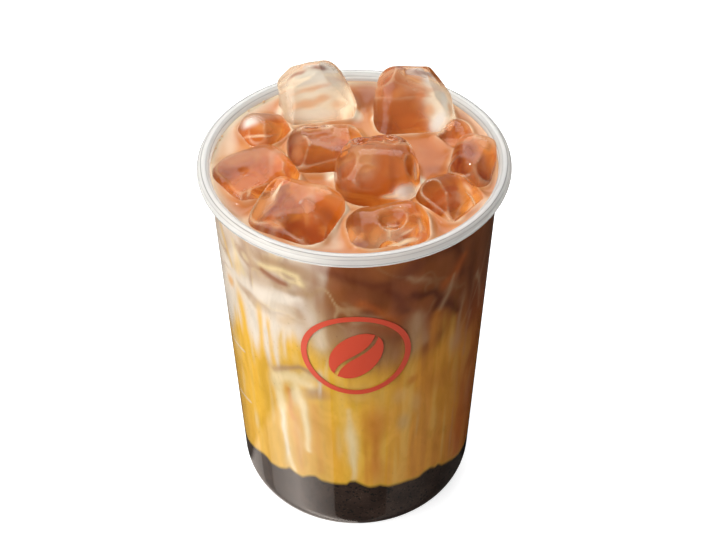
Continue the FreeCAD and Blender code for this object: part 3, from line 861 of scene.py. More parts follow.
# soft patches: paint, bearing, height in mm, half width in degrees, half height in mm, tilt, strength
PATCHES = (
    ("deep gold", -66, 36, 12, 14, 0.0, 0.25),
    ("pale gold", -29, 52, 13, 22, 0.0, 0.3),
    ("deep gold", -27, 50, 6, 20, 0.0, 0.45),
    ("deep gold", -11, 46, 6, 18, 0.0, 0.5),
    ("pale gold", -2, 48, 5, 20, 0.0, 0.5),
    ("cream", -64, 57, 1.6, 7, 0.0, 0.35),
    ("cream", -53, 44, 1.9, 5, 0.0, 0.55),
    ("cream", -36.5, 71, 4.2, 5, 0.3, 0.9),
    ("cream", -27, 67, 4.2, 5, -0.5, 0.85),
    ("cream", -28, 76, 9, 3.0, 0.1, 0.85),
    ("deep gold", -31.5, 68, 1.6, 3, 0.2, 0.6),
    ("cream", -20, 78, 5, 2.2, 0.0, 0.6),
    ("fawn", -17, 69.5, 6, 2.4, 0.1, 0.6),
    ("wisp", 20, 58, 2.8, 4.5, 0.0, 0.75),
    ("wisp", 26, 65, 2.4, 5, 0.0, 0.5),
    ("wisp", 18, 71, 3.0, 4, 0.0, 0.45),
    ("ochre", 44, 60, 6, 9, 0.0, 0.8),
    ("amber", 24, 77, 2.6, 2.4, 0.2, 0.8),
    ("amber", 38, 70, 9, 5, 0.0, 0.35),
    ("tan", 66, 50, 5, 10, 0.0, 0.5),
    ("fawn", -19, 114, 9, 12, 0.0, 0.75),
    ("tan", -20, 104, 8, 6, 0.2, 0.6),
    ("wisp", -30, 100, 4.5, 2.8, 0.0, 0.45),
    ("cream", -30, 84, 6, 2.6, 0.0, 0.4),
    ("cream", -66, 72, 4, 6, 0.0, 0.45),
    ("fawn", -31, 124, 20, 4.5, -0.06, 0.9),
    ("fawn", -40, 115, 13, 4.0, 0.1, 0.6),
    ("coffee", -23, 107, 3.5, 6, 0.0, 0.3),
    ("fawn", -61, 118, 5, 4.5, 0.5, 0.6),
    ("deep gold", -63, 101.5, 4, 2.6, 0.3, 0.75),
    ("pale gold", -54, 113, 3, 6, 0.5, 0.5),
    ("fawn", -70, 122, 6, 5, 0.0, 0.6),
    ("red brown", -8, 126, 9, 3, -0.2, 0.55),
    ("tan", 4, 106, 7, 1.6, 0.25, 0.35),
    ("tan", -4, 99, 9, 5, 0.0, 0.45),
    ("dark coffee", 6, 110, 6, 3, 0.5, 0.7),
    ("red brown", 17, 113, 4, 6, 0.0, 0.5),
    ("dark coffee", 42, 127, 14, 3.0, 0.0, 0.7),
    ("dark coffee", 22, 125, 7, 4, 0.3, 0.6),
    ("dark coffee", 34, 90, 7, 4, 0.2, 0.6),
    ("dark coffee", 62, 92, 7, 8, 0.0, 0.55),
    ("dark coffee", 63, 66, 5, 5, 0.0, 0.5),
    ("smoke_and_glint", 46, 83, 3, 5, 0.0, 0.35),
    ("smoke_and_glint", 60, 98, 10, 1.6, 1.3, 0.4),
    ("fawn", 9, 92, 12, 7, 0.0, 0.5),
    ("fawn", -14, 96, 9, 9, 0.0, 0.55),
    ("cream", -16, 95, 3, 6, 0.0, 0.4),
    ("fawn", -4, 86, 10, 5, 0.0, 0.4),
    ("fawn", 3, 74, 8, 5, 0.0, 0.35),
    ("amber", -14, 71, 4, 3, 0.0, 0.3),
    ("fawn", -18, 71.5, 4, 1.8, 0.1, 0.65),
)

# fingers that hang or rise: paint, bearing, top and bottom in mm, half width in degrees, lean, strength
FINGERS = (
    ("golden", -55, 105, 72, 2.6, -1.5, 0.95),
    ("golden", -66, 80, 64, 4.0, 0.0, 0.25),
    ("pale gold", -48.5, 88, 78, 1.4, 0.0, 0.5),
    ("golden", -42.3, 105, 76, 1.7, 0.8, 0.85),
    ("golden", -37.4, 101, 80, 1.2, -0.8, 0.8),
    ("pale gold", -32.0, 98, 78, 1.4, 0.6, 0.9),
    ("golden", -28.0, 95, 76, 1.3, 0.6, 0.8),
    ("pale gold", -24.5, 92, 76, 2.4, 0.0, 0.7),
    ("pale gold", -19.5, 97, 84, 1.4, 0.0, 0.5),
    ("milk", -47.0, 104, 76, 2.4, 0.6, 0.95),
    ("milk", -39.6, 104, 73, 1.6, 0.0, 0.9),
    ("milk", -34.6, 104, 72, 1.5, 0.3, 0.85),
    ("milk", -30.0, 98, 84, 1.0, 0.0, 0.6),
    ("cream", -51.0, 92, 70, 1.2, 0.0, 0.6),
    ("milk", -15.2, 84, 69, 1.2, 0.0, 0.75),
    ("cream", -12.5, 92, 76, 1.4, 0.0, 0.45),
    ("cream", -34.8, 68, 28, 1.9, 0.9, 0.95),
    ("cream", -22.2, 70, 46, 1.6, 0.6, 0.9),
    ("cream", -27.5, 60, 30, 1.6, 0.0, 0.3),
    ("cream", -41.0, 72, 44, 1.0, 0.5, 0.35),
    ("cream", -2.2, 64, 27, 2.4, -0.8, 0.85),
    ("cream", -8.0, 60, 40, 1.4, 0.4, 0.3),
    ("amber", 8.2, 74, 20, 5.6, 0.0, 0.85),
    ("amber", 4.0, 60, 20, 1.6, 0.0, 0.5),
    ("umber", 57.5, 74, 10, 7.0, 0.0, 0.6),
    ("umber", 68.0, 84, 10, 6.0, 0.0, 0.6),
    ("wisp", 27.4, 60, 46, 1.0, 0.6, 0.5),
    ("wisp", 51.3, 74, 18, 0.9, 0.0, 0.5),
    ("smoke_and_glint", 49.0, 106, 74, 3.2, -1.0, 0.55),
    ("smoke_and_glint", 24.0, 106, 84, 4.5, 0.0, 0.5),
    ("smoke_and_glint", 56.0, 108, 84, 1.4, -1.5, 0.35),
    ("amber", 33.0, 106, 60, 4.0, 0.5, 0.4),
    ("pale gold", 36.5, 72, 40, 2.4, 0.0, 0.4),
    ("dark coffee", 54.0, 128, 96, 3.0, 0.5, 0.35),
    ("coffee", -15.0, 128, 104, 1.6, 0.0, 0.35),
)
BACK_FINGERS = 46         # streaks strewn round the back
# thin milky threads: bearing and height of the left end, then of the right end
THREADS = ((-73, 71, -57, 73.4), (-73, 46, -57, 49.4))

# folds and wisps, and painted glints on the dark coffee at the right: paint, half width in mm, strength, and
# the points (bearing, height) they run through
STROKES = (
    ("milk", 2.2, 0.85, ((-66, 109), (-54, 106.5), (-45, 106.8), (-36, 108.3), (-29, 110), (-23, 112))),
    ("milk", 2.4, 0.5, ((-22, 109), (-18, 106.5), (-15.5, 101), (-14, 95))),
    ("fawn", 1.6, 0.6, ((-32, 114.6), (-25, 113.6), (-17, 115.4), (-13, 118))),
    ("cream", 1.2, 0.9, ((-39, 120.2), (-33, 121.2), (-28.6, 121.8), (-22.9, 121.4), (-21.4, 118.6))),
    ("cream", 0.8, 0.6, ((-22, 118.6), (-27, 118.6), (-31, 120))),
    ("coffee", 1.1, 0.85, ((-38.5, 118.8), (-35, 118.0), (-30.7, 116.9), (-28, 116.6))),
    ("tan", 1.0, 0.6, ((-48, 126), (-44, 121), (-41, 115))),
    ("pale gold", 0.9, 0.7, ((-66, 122), (-62, 114), (-60, 109))),
    ("cream", 0.9, 0.6, ((-56, 122), (-54, 116), (-50, 112))),
    ("dark coffee", 2.0, 0.6, ((-8, 125), (-0.5, 122.2), (6.8, 119.6), (13, 119.8))),
    ("dark coffee", 2.2, 0.7, ((12, 117), (18.3, 112.4), (20, 108))),
    ("dark coffee", 1.7, 0.9, ((24, 113.5), (27.4, 111.9), (32.8, 111.3), (36, 108), (34, 104))),
    ("dark coffee", 2.0, 0.85, ((40, 104.5), (42.8, 102.2), (46, 97))),
    ("dark coffee", 1.8, 0.7, ((41, 126), (44.7, 121.8), (47, 113))),
    ("dark coffee", 1.6, 0.5, ((52, 112), (56.2, 100), (57, 86))),
    # a painted orange glow on the dark coffee
    ("umber", 2.0, 0.6, ((47, 119), (42, 114), (38, 113))),
    ("umber", 1.6, 0.4, ((2, 113), (10, 109), (16, 103))),
    # the next six strokes are painted glints on the dark coffee at the right
    ("smoke_and_glint", 0.9, 0.55, ((36.5, 103), (38.2, 105.4), (41, 109), (42, 114))),
    ("smoke_and_glint", 1.1, 0.6, ((60, 106), (64.4, 96.4), (66, 88))),
    ("smoke_and_glint", 0.9, 0.35, ((30, 117), (26, 119), (21, 121))),
    ("smoke_and_glint", 2.6, 0.5, ((24.5, 104), (27, 97), (29, 92))),
    ("smoke_and_glint", 0.9, 0.45, ((57, 91), (55, 82), (55, 74))),
    ("amber", 1.6, 0.7, ((35, 102), (33.5, 96), (33, 88))),
    ("fawn", 1.1, 0.4, ((-4, 113), (3, 108), (11, 104))),
    ("fawn", 1.4, 0.85, ((-37, 76.5), (-32.7, 79), (-24.9, 82), (-18, 81.2), (-15.2, 79.2))),
    ("cream", 2.1, 0.85, ((-36.5, 73.5), (-28, 76.6), (-20, 75.6))),
    ("cream", 2.0, 0.85, ((-36.5, 72.5), (-35.6, 66), (-35, 60))),
    ("cream", 1.2, 0.95, ((-35.6, 66), (-35, 55), (-34.6, 45), (-33.4, 36), (-31.6, 29))),
    ("milk", 0.6, 0.6, ((-35.2, 58), (-34.8, 47), (-33.8, 37))),
    ("cream", 1.6, 0.85, ((-27, 75), (-26.7, 69), (-24.4, 64))),
    ("cream", 1.0, 0.9, ((-25, 67), (-23.4, 58), (-22.6, 50), (-22.3, 43))),
    ("amber", 0.9, 0.6, ((-31, 70), (-30.4, 64), (-29.6, 56))),
    ("amber", 1.6, 0.35, ((-18, 66), (-17.6, 50), (-17, 34))),
    ("amber", 1.2, 0.3, ((-28, 58), (-27.6, 44), (-27, 32))),
    ("cream", 1.1, 0.5, ((-3.4, 66), (-2.4, 50), (-1.4, 36), (-1.6, 28))),
)
MM_PER_DEGREE = 0.75      # along the wall


def stroke(around, z, points, width):
    """Share of a soft brush stroke through the points; bearings in degrees, heights and width in mm."""
    across = around * MM_PER_DEGREE
    nearest = np.full(len(z), 1e6)
    for (left, low), (right, high) in zip(points, points[1:]):
        start_x, run_x, run_z = left * MM_PER_DEGREE, (right - left) * MM_PER_DEGREE, high - low
        along = ((across - start_x) * run_x + (z - low) * run_z) / (run_x ** 2 + run_z ** 2)
        along = np.clip(along, 0, 1)
        nearest = np.minimum(nearest, np.hypot(across - start_x - along * run_x, z - low - along * run_z))
    return np.exp(-(nearest / width) ** 2)


def finger(bearing, z, middle, top, bottom, width, lean):
    """Share of a soft upright streak, in degrees and mm; lean is how far right its top stands of its foot."""
    length = top - bottom
    centre = middle + lean * ((z - bottom) / length - 0.5)
    narrowing = width * (0.75 + 0.35 * np.sin(z / 5.1 + middle))
    ends = smooth(z, bottom - 1, bottom + 0.35 * length) * (1 - smooth(z, top - 0.3 * length, top + 1))
    return np.exp(-((bearing - centre) / narrowing) ** 2) * ends


def wall_paint(bearing, z):
    """The drink's colours at the wall, for arrays of bearings in radians and heights in metres."""
    z = z / MM
    around = np.degrees(bearing)
    slow = round_noise(bearing, z, 26, 15, 1)
    quick = round_noise(bearing, z, 80, 6, 2)
    lean = round_noise(bearing, z, 18, 22, 3)
    place = around + 1.7 * slow + 0.55 * quick
    height = z + 2.0 * lean + 0.8 * round_noise(bearing, z, 70, 9, 4)
    colours = {name: np.array(srgb(*paint)[:3]) for name, paint in PAINTS.items()}
    paint = np.tile(colours["golden"], (len(z), 1))

    def lay(name, share):
        share = np.clip(share, 0, 1)[:, None]
        paint[:] = paint * (1 - share) + colours[name] * share

    streaks = round_noise(bearing, z, 120, 34, 5) + 0.5 * round_noise(bearing, z, 260, 22, 6)
    side = smooth(np.abs(place - 88), 88, 60)
    lay("ochre", side)
    lay("pale gold", 0.5 * smooth(streaks, 0.1, 0.9))
    lay("amber", 0.45 * smooth(-streaks, 0.1, 0.9) * (0.25 + 0.75 * side))
    line, depth = zip(*COFFEE_LINE)
    rise = height - np.interp(place, line, depth) - 4 * streaks
    lay("coffee", 0.97 * smooth(rise, -13, 13))
    lay("dark coffee", 0.5 * smooth(round_noise(bearing, height, 22, 9, 7), 0.1, 0.8) * smooth(rise, -4, 14))
    lay("red brown", 0.6 * smooth(round_noise(bearing, height, 34, 6, 8), 0.1, 0.8) * smooth(rise, 0, 14))
    line, depth = zip(*MILK_LINE)
    rise = height - np.interp(place, line, depth) - 3.5 * streaks
    lay("milk", 0.95 * smooth(rise, -6, 7))
    folds = round_noise(bearing, height + 0.22 * around, 16, 5.5, 9)
    lay("tan", 0.7 * smooth(folds, 0.0, 0.7) * smooth(rise, 4, 20))
    veins = round_noise(bearing, height + 0.3 * around, 20, 9, 10)
    veins += 0.4 * round_noise(bearing, height, 60, 5, 11)
    crest = np.exp(-((np.abs(veins) / 0.085) ** 2)) * smooth(z, 98, 108)
    lay("cream", 0.6 * crest * smooth(around, 10, -20) * smooth(around, -110, -80))
    lay("tan", 0.12 * crest * smooth(np.abs(around), 80, 110))
    lay("fawn", 0.3 * crest * smooth(around, -10, 20) * (1 - smooth(around, 44, 60)))
    shade = smooth(veins, 0.06, 0.2) * (1 - smooth(veins, 0.2, 0.6)) * smooth(z, 98, 108)
    lay("coffee", 0.38 * shade * (1 - 0.75 * smooth(np.abs(around), 70, 95)))
    for name, middle, level, width, tall, tilt, strength in PATCHES:
        away = (place - middle) / width
        off = (height - level - tilt * (place - middle)) / tall
        lay(name, strength * np.exp(-(away ** 2 + off ** 2) ** 1.4))
    for name, middle, top, bottom, width, tilt, strength in FINGERS:
        lay(name, strength * finger(around + slow + 0.5 * quick, z, middle, top, bottom, width, tilt))
    rng = np.random.default_rng(12)
    for _ in range(BACK_FINGERS):
        middle = rng.uniform(80, 280)
        top = rng.uniform(60, 112)
        bottom = top - rng.uniform(12, 40)
        share = finger((around + slow) % 360, z, middle, top, bottom, rng.uniform(1, 3), 0.4)
        lay(rng.choice(["milk", "cream", "cream", "pale gold", "amber"]), 0.7 * share)
    shadow = smooth(around, -52, -42) * (1 - smooth(around, -16, -9)) * (1 - smooth(z, 76, 88))
    paint *= 1 - (0.16 * shadow)[:, None]
    ripple = 0.7 * round_noise(bearing, z, 60, 5, 13)
    for name, width, strength, points in STROKES:
        lay(name, strength * stroke(around + ripple, z + 0.8 * ripple, points, width * (1 + 0.4 * ripple)))
    for left, low, right, high in THREADS:
        share = (around - left) / (right - left)
        on = smooth(share, -0.02, 0.1) * (1 - smooth(share, 0.9, 1.02))
        lay("milk", 0.8 * on * np.exp(-((z - low - (high - low) * share) / 0.45) ** 2))
    # down the right side, a deeper umber: the drink's own orange-brown there, and painted shade on the side
    # away from the key light
    lay("umber", 0.55 * smooth(around, 36, 66) * (1 - smooth(around, 85, 105)) * (1 - smooth(z, 84, 110)))
    lay("cream", 0.3 * smooth(z, 127.5, 130.5))
    line, level = zip(*BASE_LINE)
    lay("olive", 0.55 * (1 - smooth(z - np.interp(around, line, level), 0.2, 2.8)))
    lay("dark olive", 0.9 * (1 - smooth(z - np.interp(around, line, level), 0.0, 1.7)))
    return paint


def fill_paint(thing):
    """Give a drink piece its colours from where its points lie round the cup."""
    places = np.array([v.co for v in thing.data.vertices])
    paint = wall_paint(np.arctan2(places[:, 0], -places[:, 1]), places[:, 2])
    fill_colours(thing, "paint", np.append(paint, np.ones((len(paint), 1)), 1))


def base_line(bearing):
    """Height of the dark base's top at the wall."""
    line, height = zip(*BASE_LINE)
    degrees = (math.degrees(bearing) + 180) % 360 - 180
    crumbs = noise.noise(Vector((math.sin(bearing), math.cos(bearing), 0)) * 40)
    return (np.interp(degrees, line, height) + 0.35 * crumbs) * MM


def golden_line(bearing):
    """Height of the golden layer's top at the wall, the same all round."""
    return GOLDEN_TOP


def drink_band(low, high, rows):
    """Points and faces of one layer's side, between two height functions."""
    bearings = [2 * math.pi * step / ROUND for step in range(ROUND)]
    vertices = []
    for row in range(rows + 1):
        for bearing in bearings:
            z = low(bearing) + (high(bearing) - low(bearing)) * row / rows
            radius = outer_radius(z) - WALL + INTO_WALL
            vertices.append(round_point(radius, bearing, z))
    return vertices, ring_faces(rows + 1, ROUND)


def close_ring(vertices, faces, start, height, upward):
    """Close a ring of points with a fan to the axis."""
    middle = len(vertices)
    vertices.append((0, 0, height))
    for step in range(ROUND):
        after = (step + 1) % ROUND
        edge = (start + step, start + after)
        faces.append((middle, *edge) if upward else (middle, *edge[::-1]))


def make_latte():
    """The top layer: its wall, and the surface with its pockets round the ice."""
    top = DRINK_LEVEL + WALL_CLIMB
    vertices, faces = drink_band(golden_line, lambda bearing: top, LATTE_ROWS)
    cream = [0.0] * len(vertices)
    deep = [0.0] * len(vertices)
    lit = [0.0] * len(vertices)
    start = len(vertices) - ROUND
    rim_radius = math.hypot(vertices[start][0], vertices[start][1])
    previous = start
    for number in range(1, LATTE_RINGS):
        radius = rim_radius * (1 - number / LATTE_RINGS)
        first = len(vertices)
        for step in range(ROUND):
            bearing = 2 * math.pi * step / ROUND
            x, y, _ = round_point(radius, bearing, 0)
            z, depth, near_ice, gathered = drink_surface(x, y, rim_radius)
            vertices.append((x, y, z))
            deep.append(depth)
            # cream ring at the wall, stronger towards the back left, and broken cream lines where the drink
            # climbs the ice: partly milk, partly painted highlight
            ring = 0.75 - 0.45 * math.cos(bearing - 0.7)
            broken = 0.3 + 0.5 * noise.noise(Vector((x, y, 4 * MM)) / (5 * MM))
            at_wall = ring * math.exp((radius - rim_radius) / (2.0 * MM))
            cream.append(max(at_wall, max(0.05, broken) * near_ice))
            lit.append(gathered)
            after = (step + 1) % ROUND
            faces.append((previous + step, previous + after, first + after, first + step))
        previous = first
    close_ring(vertices, faces, previous, drink_surface(0, 0, rim_radius)[0], True)
    close_ring(vertices, faces, 0, GOLDEN_TOP, False)
    deep += [deep[-1], 0.0]
    cream += [0.0, 0.0]
    lit += [lit[-1], 0.0]
    latte = new_object("latte", vertices, faces)
    side_faces = ROUND * LATTE_ROWS
    latte.data.materials.append(WALL_DRINK)
    latte.data.materials.append(latte_surface())
    for index, face in enumerate(latte.data.polygons):
        face.material_index = 0 if index < side_faces else 1
    fill_paint(latte)
    fill_attribute(latte, "cream", cream)
    fill_attribute(latte, "deep", deep)
    fill_attribute(latte, "lit", lit)
    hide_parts("latte_layer")
    return latte


def make_golden():
    vertices, faces = drink_band(base_line, golden_line, GOLDEN_ROWS)
    top = len(vertices) - ROUND
    close_ring(vertices, faces, top, GOLDEN_TOP, True)
    close_ring(vertices, faces, 0, BASE_TOP, False)
    golden = new_object("butterscotch", vertices, faces)
    golden.data.materials.append(WALL_DRINK)
    fill_paint(golden)
    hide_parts("butterscotch_layer")
    return golden


def make_base():
    outline = bowl_outline(WALL - INTO_WALL, FLOOR - INTO_WALL, BOWL_TOP, 3)
    vertices = []
    bearings = [2 * math.pi * step / ROUND for step in range(ROUND)]
    for radius, z in outline[1:]:
        vertices += [round_point(radius, bearing, z) for bearing in bearings]
    start = outline[-1][1]
    for row in range(1, BASE_ROWS + 1):
        for bearing in bearings:
            z = start + (base_line(bearing) - start) * row / BASE_ROWS
            vertices.append(round_point(outer_radius(z) - WALL + INTO_WALL, bearing, z))
    faces = ring_faces(len(vertices) // ROUND, ROUND)
    close_ring(vertices, faces, len(vertices) - ROUND, BASE_TOP, True)
    close_ring(vertices, faces, 0, outline[0][1], False)
    base = new_object("dark_base", vertices, faces)
    base.data.materials.append(dark_base())
    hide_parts("dark_base_layer")
    return base


# ---------------------------------------------------------------- print

PRINT_HEIGHT = 91 * MM       # middle of the print above the table
PRINT_RADIUS = 17 * MM
PRINT_LINE = 1.9 * MM        # width of the ring round it
INK = 0.05 * MM              # thickness
BEAN_LENGTH = 10.6 * MM      # half the bean's length, its half width and its tilt
BEAN_WIDTH = 7.2 * MM
BEAN_TILT = math.radians(-32)


def on_wall(across, up, lift):
    """A point of a flat drawing wrapped onto the outside of the wall."""
    z = PRINT_HEIGHT + up
    return round_point(outer_radius(z) + lift, across / outer_radius(PRINT_HEIGHT), z)


def printed(rows, closed):
    """Points and faces of a thin patch of ink from rows of flat points; closed joins its two ends."""
    across = len(rows[0])
    outer = [on_wall(u, v, INK * 1.4) for row in rows for u, v in row]
    inner = [on_wall(u, v, INK * 0.4) for row in rows for u, v in row]
    count = len(outer)
    faces = []
    last = len(rows) if closed else len(rows) - 1
    for row in range(last):
        here, after = row * across, (row + 1) % len(rows) * across
        for step in range(across - 1):
            a, b, c, d = here + step, here + step + 1, after + step + 1, after + step
            faces += [(a, b, c, d), (d + count, c + count, b + count, a + count)]
        for step, turn in ((0, 1), (across - 1, -1)):
            side = (here + step, after + step, after + step + count, here + step + count)
            faces.append(side[::turn])
    if not closed:
        for row, turn in ((0, -1), (len(rows) - 1, 1)):
            for step in range(across - 1):
                a = row * across + step
                faces.append((a, a + 1, a + 1 + count, a + count)[::turn])
    return outer + inner, faces


def bean_half(side):
    """Rows of one half of a coffee bean: between its outline and the wavy cleft down its middle."""
    rows = []
    for step in range(41):
        v = -1 + 2 * step / 40
        reach = math.sqrt(max(0.0, 1 - v * v)) * BEAN_WIDTH
        cleft = (1.5 * math.sin(v * 2.6) + side * 0.65) * MM
        edge = side * reach
        if side * cleft > side * edge:
            cleft = edge
        row = []
        for part in range(7):
            u = cleft + (edge - cleft) * part / 6
            up = v * BEAN_LENGTH
            row.append((u * math.cos(BEAN_TILT) - up * math.sin(BEAN_TILT),
                        u * math.sin(BEAN_TILT) + up * math.cos(BEAN_TILT)))
        rows.append(row)
    return rows


def make_print():
    """A plain round badge with a coffee bean, in red ink."""
    ring = []
    for step in range(120):
        angle = 2 * math.pi * step / 120
        radii = [PRINT_RADIUS - PRINT_LINE * part / 3 for part in range(4)]
        ring.append([(r * math.cos(angle), r * math.sin(angle)) for r in radii])
    vertices, faces = [], []
    for rows, closed in ((ring, True), (bean_half(1), False), (bean_half(-1), False)):
        points, patch = printed(rows, closed)
        faces += [tuple(index + len(vertices) for index in face) for face in patch]
        vertices += points
    badge = new_object("badge", vertices, faces)
    outside = bmesh.new()
    outside.from_mesh(badge.data)
    bmesh.ops.remove_doubles(outside, verts=outside.verts, dist=0.001 * MM)
    bmesh.ops.recalc_face_normals(outside, faces=outside.faces)
    outside.to_mesh(badge.data)
    outside.free()
    shader = Shader("red ink")
    ink = shader.surface(Base_Color=srgb(208, 72, 46), Roughness=0.3)
    badge.data.materials.append(shader.finish(ink))
    return badge


# ---------------------------------------------------------------- specks and bubbles

SPECKS = 520              # crumbs of coffee that show against the wall
BUBBLES = 46              # air bubbles where the drink meets the wall


def scatter_tree():
    """Grains strewn over a surface: how many, smallest and largest radius, seed and material."""
    tree = bpy.data.node_groups.new("strewn grains", "GeometryNodeTree")
    kinds = (("Surface", "NodeSocketGeometry"), ("Grains per square metre", "NodeSocketFloat"),
             ("Smallest", "NodeSocketFloat"), ("Largest", "NodeSocketFloat"), ("Seed", "NodeSocketInt"),
             ("Material", "NodeSocketMaterial"))
    for name, kind in kinds:
        tree.interface.new_socket(name, in_out="INPUT", socket_type=kind)
    tree.interface.new_socket("Grains", in_out="OUTPUT", socket_type="NodeSocketGeometry")
    given = tree.nodes.new("NodeGroupInput").outputs
    strew = tree.nodes.new("GeometryNodeDistributePointsOnFaces")
    grain = tree.nodes.new("GeometryNodeMeshIcoSphere")
    grain.inputs["Radius"].default_value = 1.0
    grain.inputs["Subdivisions"].default_value = 2
    sizes = tree.nodes.new("FunctionNodeRandomValue")
    low, high = [socket for socket in sizes.inputs if socket.enabled][:2]
    size = [socket for socket in sizes.outputs if socket.enabled][0]
    place = tree.nodes.new("GeometryNodeInstanceOnPoints")
    real = tree.nodes.new("GeometryNodeRealizeInstances")
    paint = tree.nodes.new("GeometryNodeSetMaterial")
    done = tree.nodes.new("NodeGroupOutput")
    links = ((given["Surface"], strew.inputs["Mesh"]),
             (given["Grains per square metre"], strew.inputs["Density"]),
             (given["Seed"], strew.inputs["Seed"]),
             (given["Smallest"], low),
             (given["Largest"], high),
             (strew.outputs["Points"], place.inputs["Points"]),
             (grain.outputs["Mesh"], place.inputs["Instance"]),
             (size, place.inputs["Scale"]),
             (place.outputs["Instances"], real.inputs[0]),
             (real.outputs[0], paint.inputs["Geometry"]),
             (given["Material"], paint.inputs["Material"]),
             (paint.outputs["Geometry"], done.inputs[0]))
    for source, target in links:
        tree.links.new(source, target)
    return tree


def strewn(name, surface, count, smallest, largest, seed, material):
    """Turn a surface's strewn grains into one plain piece; the surface itself is left out."""
    area = sum(face.area for face in surface.data.polygons)
    modifier = surface.modifiers.new("grains", "NODES")
    modifier.node_group = SCATTER
    values = {"Grains per square metre": count / area, "Smallest": smallest, "Largest": largest,
              "Seed": seed, "Material": material}
    for socket in SCATTER.interface.items_tree:
        if socket.name in values:
            modifier[socket.identifier] = values[socket.name]
    grains = applied(surface)
    bpy.data.objects.remove(surface)
    grains.shade_smooth()
    return placed(name, grains)


def wall_band(low, high, inset):
    """A plain band just inside the wall between two heights, for grains to lie on."""
    steps = 96
    rows = []
    for z in (low, high):
        radius = outer_radius(z) - WALL - inset
        rows += [round_point(radius, 2 * math.pi * step / steps, z) for step in range(steps)]
    return new_object("band", rows, ring_faces(2, steps))


def make_specks():
    shader = Shader("coffee specks")
    dark = shader.finish(shader.surface(Base_Color=srgb(96, 58, 30), Roughness=0.5))
    specks = strewn("coffee_specks", wall_band(BASE_TOP + 4 * MM, DRINK_LEVEL - 4 * MM, -INTO_WALL),
                    SPECKS, 0.05 * MM, 0.13 * MM, 4, dark)
    return specks


def make_bubbles():
    shader = Shader("bubble film")
    film = shader.finish(shader.surface(Base_Color=srgb(236, 196, 150), Roughness=0.08, IOR=1.33))
    bubbles = strewn("air_bubbles", wall_band(DRINK_LEVEL + 0.2 * MM, DRINK_LEVEL + WALL_CLIMB, 0.25 * MM),
                     BUBBLES, 0.18 * MM, 0.4 * MM, 9, film)
    return bubbles


# ---------------------------------------------------------------- stage, lamps and camera

def make_floor():
    shader = Shader("white table")
    rays = shader.rays()
    seen = shader.math("MAXIMUM", rays["Is Camera Ray"], rays["Is Transmission Ray"])
    brightness = shader.math("MULTIPLY", seen, 0.76)
    matt = shader.surface("BsdfDiffuse", Color=(0.8, 0.8, 0.8, 1))
    lit = shader.node("ShaderNodeAddShader")
    shader.join(matt, lit.inputs[0])
    shader.join(shader.surface("Emission", Color=(1, 1, 1, 1), Strength=brightness), lit.inputs[1])
    clear = shader.surface("BsdfTransparent")
    white_table = shader.finish(shader.blend(rays["Is Glossy Ray"], lit.outputs[0], clear))
    size = 3.0
    corners = [(-size, -size, 0), (size, -size, 0), (size, size, 0), (-size, size, 0)]
    floor = new_object("table", corners, [(0, 1, 2, 3)], rounded=False)
    floor.data.materials.append(white_table)


# brightness of what the wall mirrors: bearing in degrees, share of the full strength
BACK_LEFT = ((-180, 0.30), (-150, 0.32), (-125, 0.34), (-119, 0.34), (-117.5, 0.17), (-102, 0.17),
             (-100.5, 0.34))
BACK_RIGHT = ((90, 0.01), (150, 0.02), (179.9, 0.05), (180, 0.30))
STRIPES = (*BACK_LEFT, (-86, 0.5), (-66, 0.8), (-52, 0.7), (-38, 0.66), (-27.2, 0.7), (-26, 0.02),
           (31, 0.01), (32.2, 0.2), (62, 0.06), *BACK_RIGHT)
# the same low down, where it shows over the dark base
LOW_STRIPES = (*BACK_LEFT, (-86, 0.55), (-66, 1.0), (-52, 0.72), (-38, 0.42), (-25.4, 0.24), (-24.2, 0.02),
               (31, 0.01), (32.2, 0.08), (62, 0.05), *BACK_RIGHT)
STRIPE_STRENGTH = 2.3
# the strength by how steeply down the mirrored way points (its height part, share)
STEEP = ((-0.764, 0.10), (-0.70, 0.10), (-0.68, 0.42), (-0.5, 0.42), (0.0, 0.3))
BASE_STEEP = -0.768       # steeper than this, the bands low down take over
SOFT_FILL = 0.21          # grey light from all sides


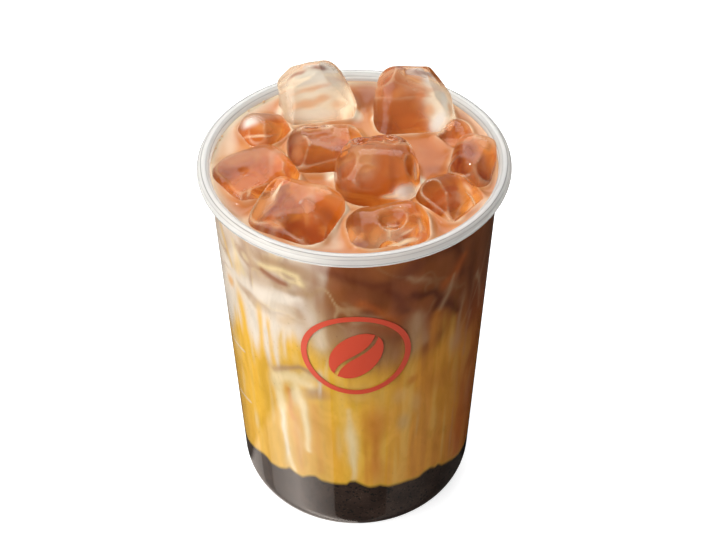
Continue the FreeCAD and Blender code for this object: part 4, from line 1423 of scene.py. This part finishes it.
def make_world():
    """White round the object for the camera, soft grey light, and dim bands for what gloss mirrors."""
    shader = Shader("studio", "worlds")
    bpy.context.scene.world = shader.owner
    way = shader.node("ShaderNodeSeparateXYZ")
    shader.join(shader.node("ShaderNodeTexCoord").outputs["Generated"], way.inputs[0])
    x, y, z = way.outputs
    bearing = shader.math("ARCTAN2", x, shader.math("MULTIPLY", y, -1.0))
    degrees = shader.math("MULTIPLY", bearing, 180 / math.pi)
    upper = shader.math("MULTIPLY", shader.ramp(degrees, STRIPES), shader.ramp(z, STEEP))
    at_base = shader.span(z, BASE_STEEP - 0.004, BASE_STEEP + 0.004, 1.0, 0.0)
    low = shader.mix(at_base, upper, shader.ramp(degrees, LOW_STRIPES))
    low = shader.math("MULTIPLY", low, STRIPE_STRENGTH)
    low = shader.mix(low, (0, 0, 0, 1), (1.0, 0.9, 0.82, 1))
    mirrored = shader.mix(shader.span(z, -0.02, 0.1), low, (0.6, 0.6, 0.6, 1))
    rays = shader.rays()
    seen = shader.math("MAXIMUM", rays["Is Camera Ray"], rays["Is Transmission Ray"])
    plain = shader.mix(seen, (SOFT_FILL, SOFT_FILL, SOFT_FILL, 1), (1, 1, 1, 1))
    colour = shader.mix(rays["Is Glossy Ray"], plain, mirrored)
    shader.finish(shader.surface("Background", Color=colour), "World")


def softbox(name, bearing, elevation, distance, width, height, brightness):
    """A rectangular lamp that faces the upper part of the cup; bearing and elevation in degrees."""
    lamp = bpy.data.lights.new(name, "AREA")
    lamp.shape = "RECTANGLE"
    lamp.size = width
    lamp.size_y = height
    lamp.energy = brightness * math.pi * width * height
    thing = placed(name, lamp)
    way = direction(bearing, elevation)
    middle = Vector((0, 0, CUP_TOP * 0.8))
    thing.location = middle + way * distance
    thing.visible_camera = False
    thing.visible_transmission = False
    thing.rotation_euler = way.to_track_quat("Z", "Y").to_euler()
    return thing


CAMERA_PLACE = (0, -0.3455, 0.3967)
CAMERA_PITCH = math.radians(41.82)     # how far it looks down
CAMERA_TURN = math.radians(0.286)      # to the right
CAMERA_ROLL = math.radians(-0.32)
CAMERA_LENS = 71.69                    # focal length in mm for the sensor's width
SENSOR_WIDTH = 36.0


def make_camera():
    view = bpy.data.cameras.new("camera")
    view.sensor_width = SENSOR_WIDTH
    view.lens = CAMERA_LENS
    camera = placed("camera", view)
    turned_way = Matrix.Rotation(-CAMERA_TURN, 4, "Z") @ Matrix.Rotation(math.pi / 2 - CAMERA_PITCH, 4, "X")
    rolled = turned_way @ Matrix.Rotation(CAMERA_ROLL, 4, "Z")
    camera.matrix_world = Matrix.Translation(CAMERA_PLACE) @ rolled
    bpy.context.scene.camera = camera


WALL_DRINK = wall_drink()
SCATTER = scatter_tree()
pieces = [make_cup(), make_latte(), make_golden(), make_base(), make_print(), make_specks(), make_bubbles(),
          *cubes.values()]
for piece in pieces:
    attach(piece, "root")
make_floor()
make_world()
softbox("left softbox", -57, 27, 0.8, 0.9, 0.9, 3.6)
softbox("back softbox", 180, 48, 0.9, 0.8, 0.5, 3.5)
softbox("small lamp", -125, 62, 0.9, 0.06, 0.06, 70.0)
make_camera()
bpy.context.scene.view_settings.view_transform = "Standard"
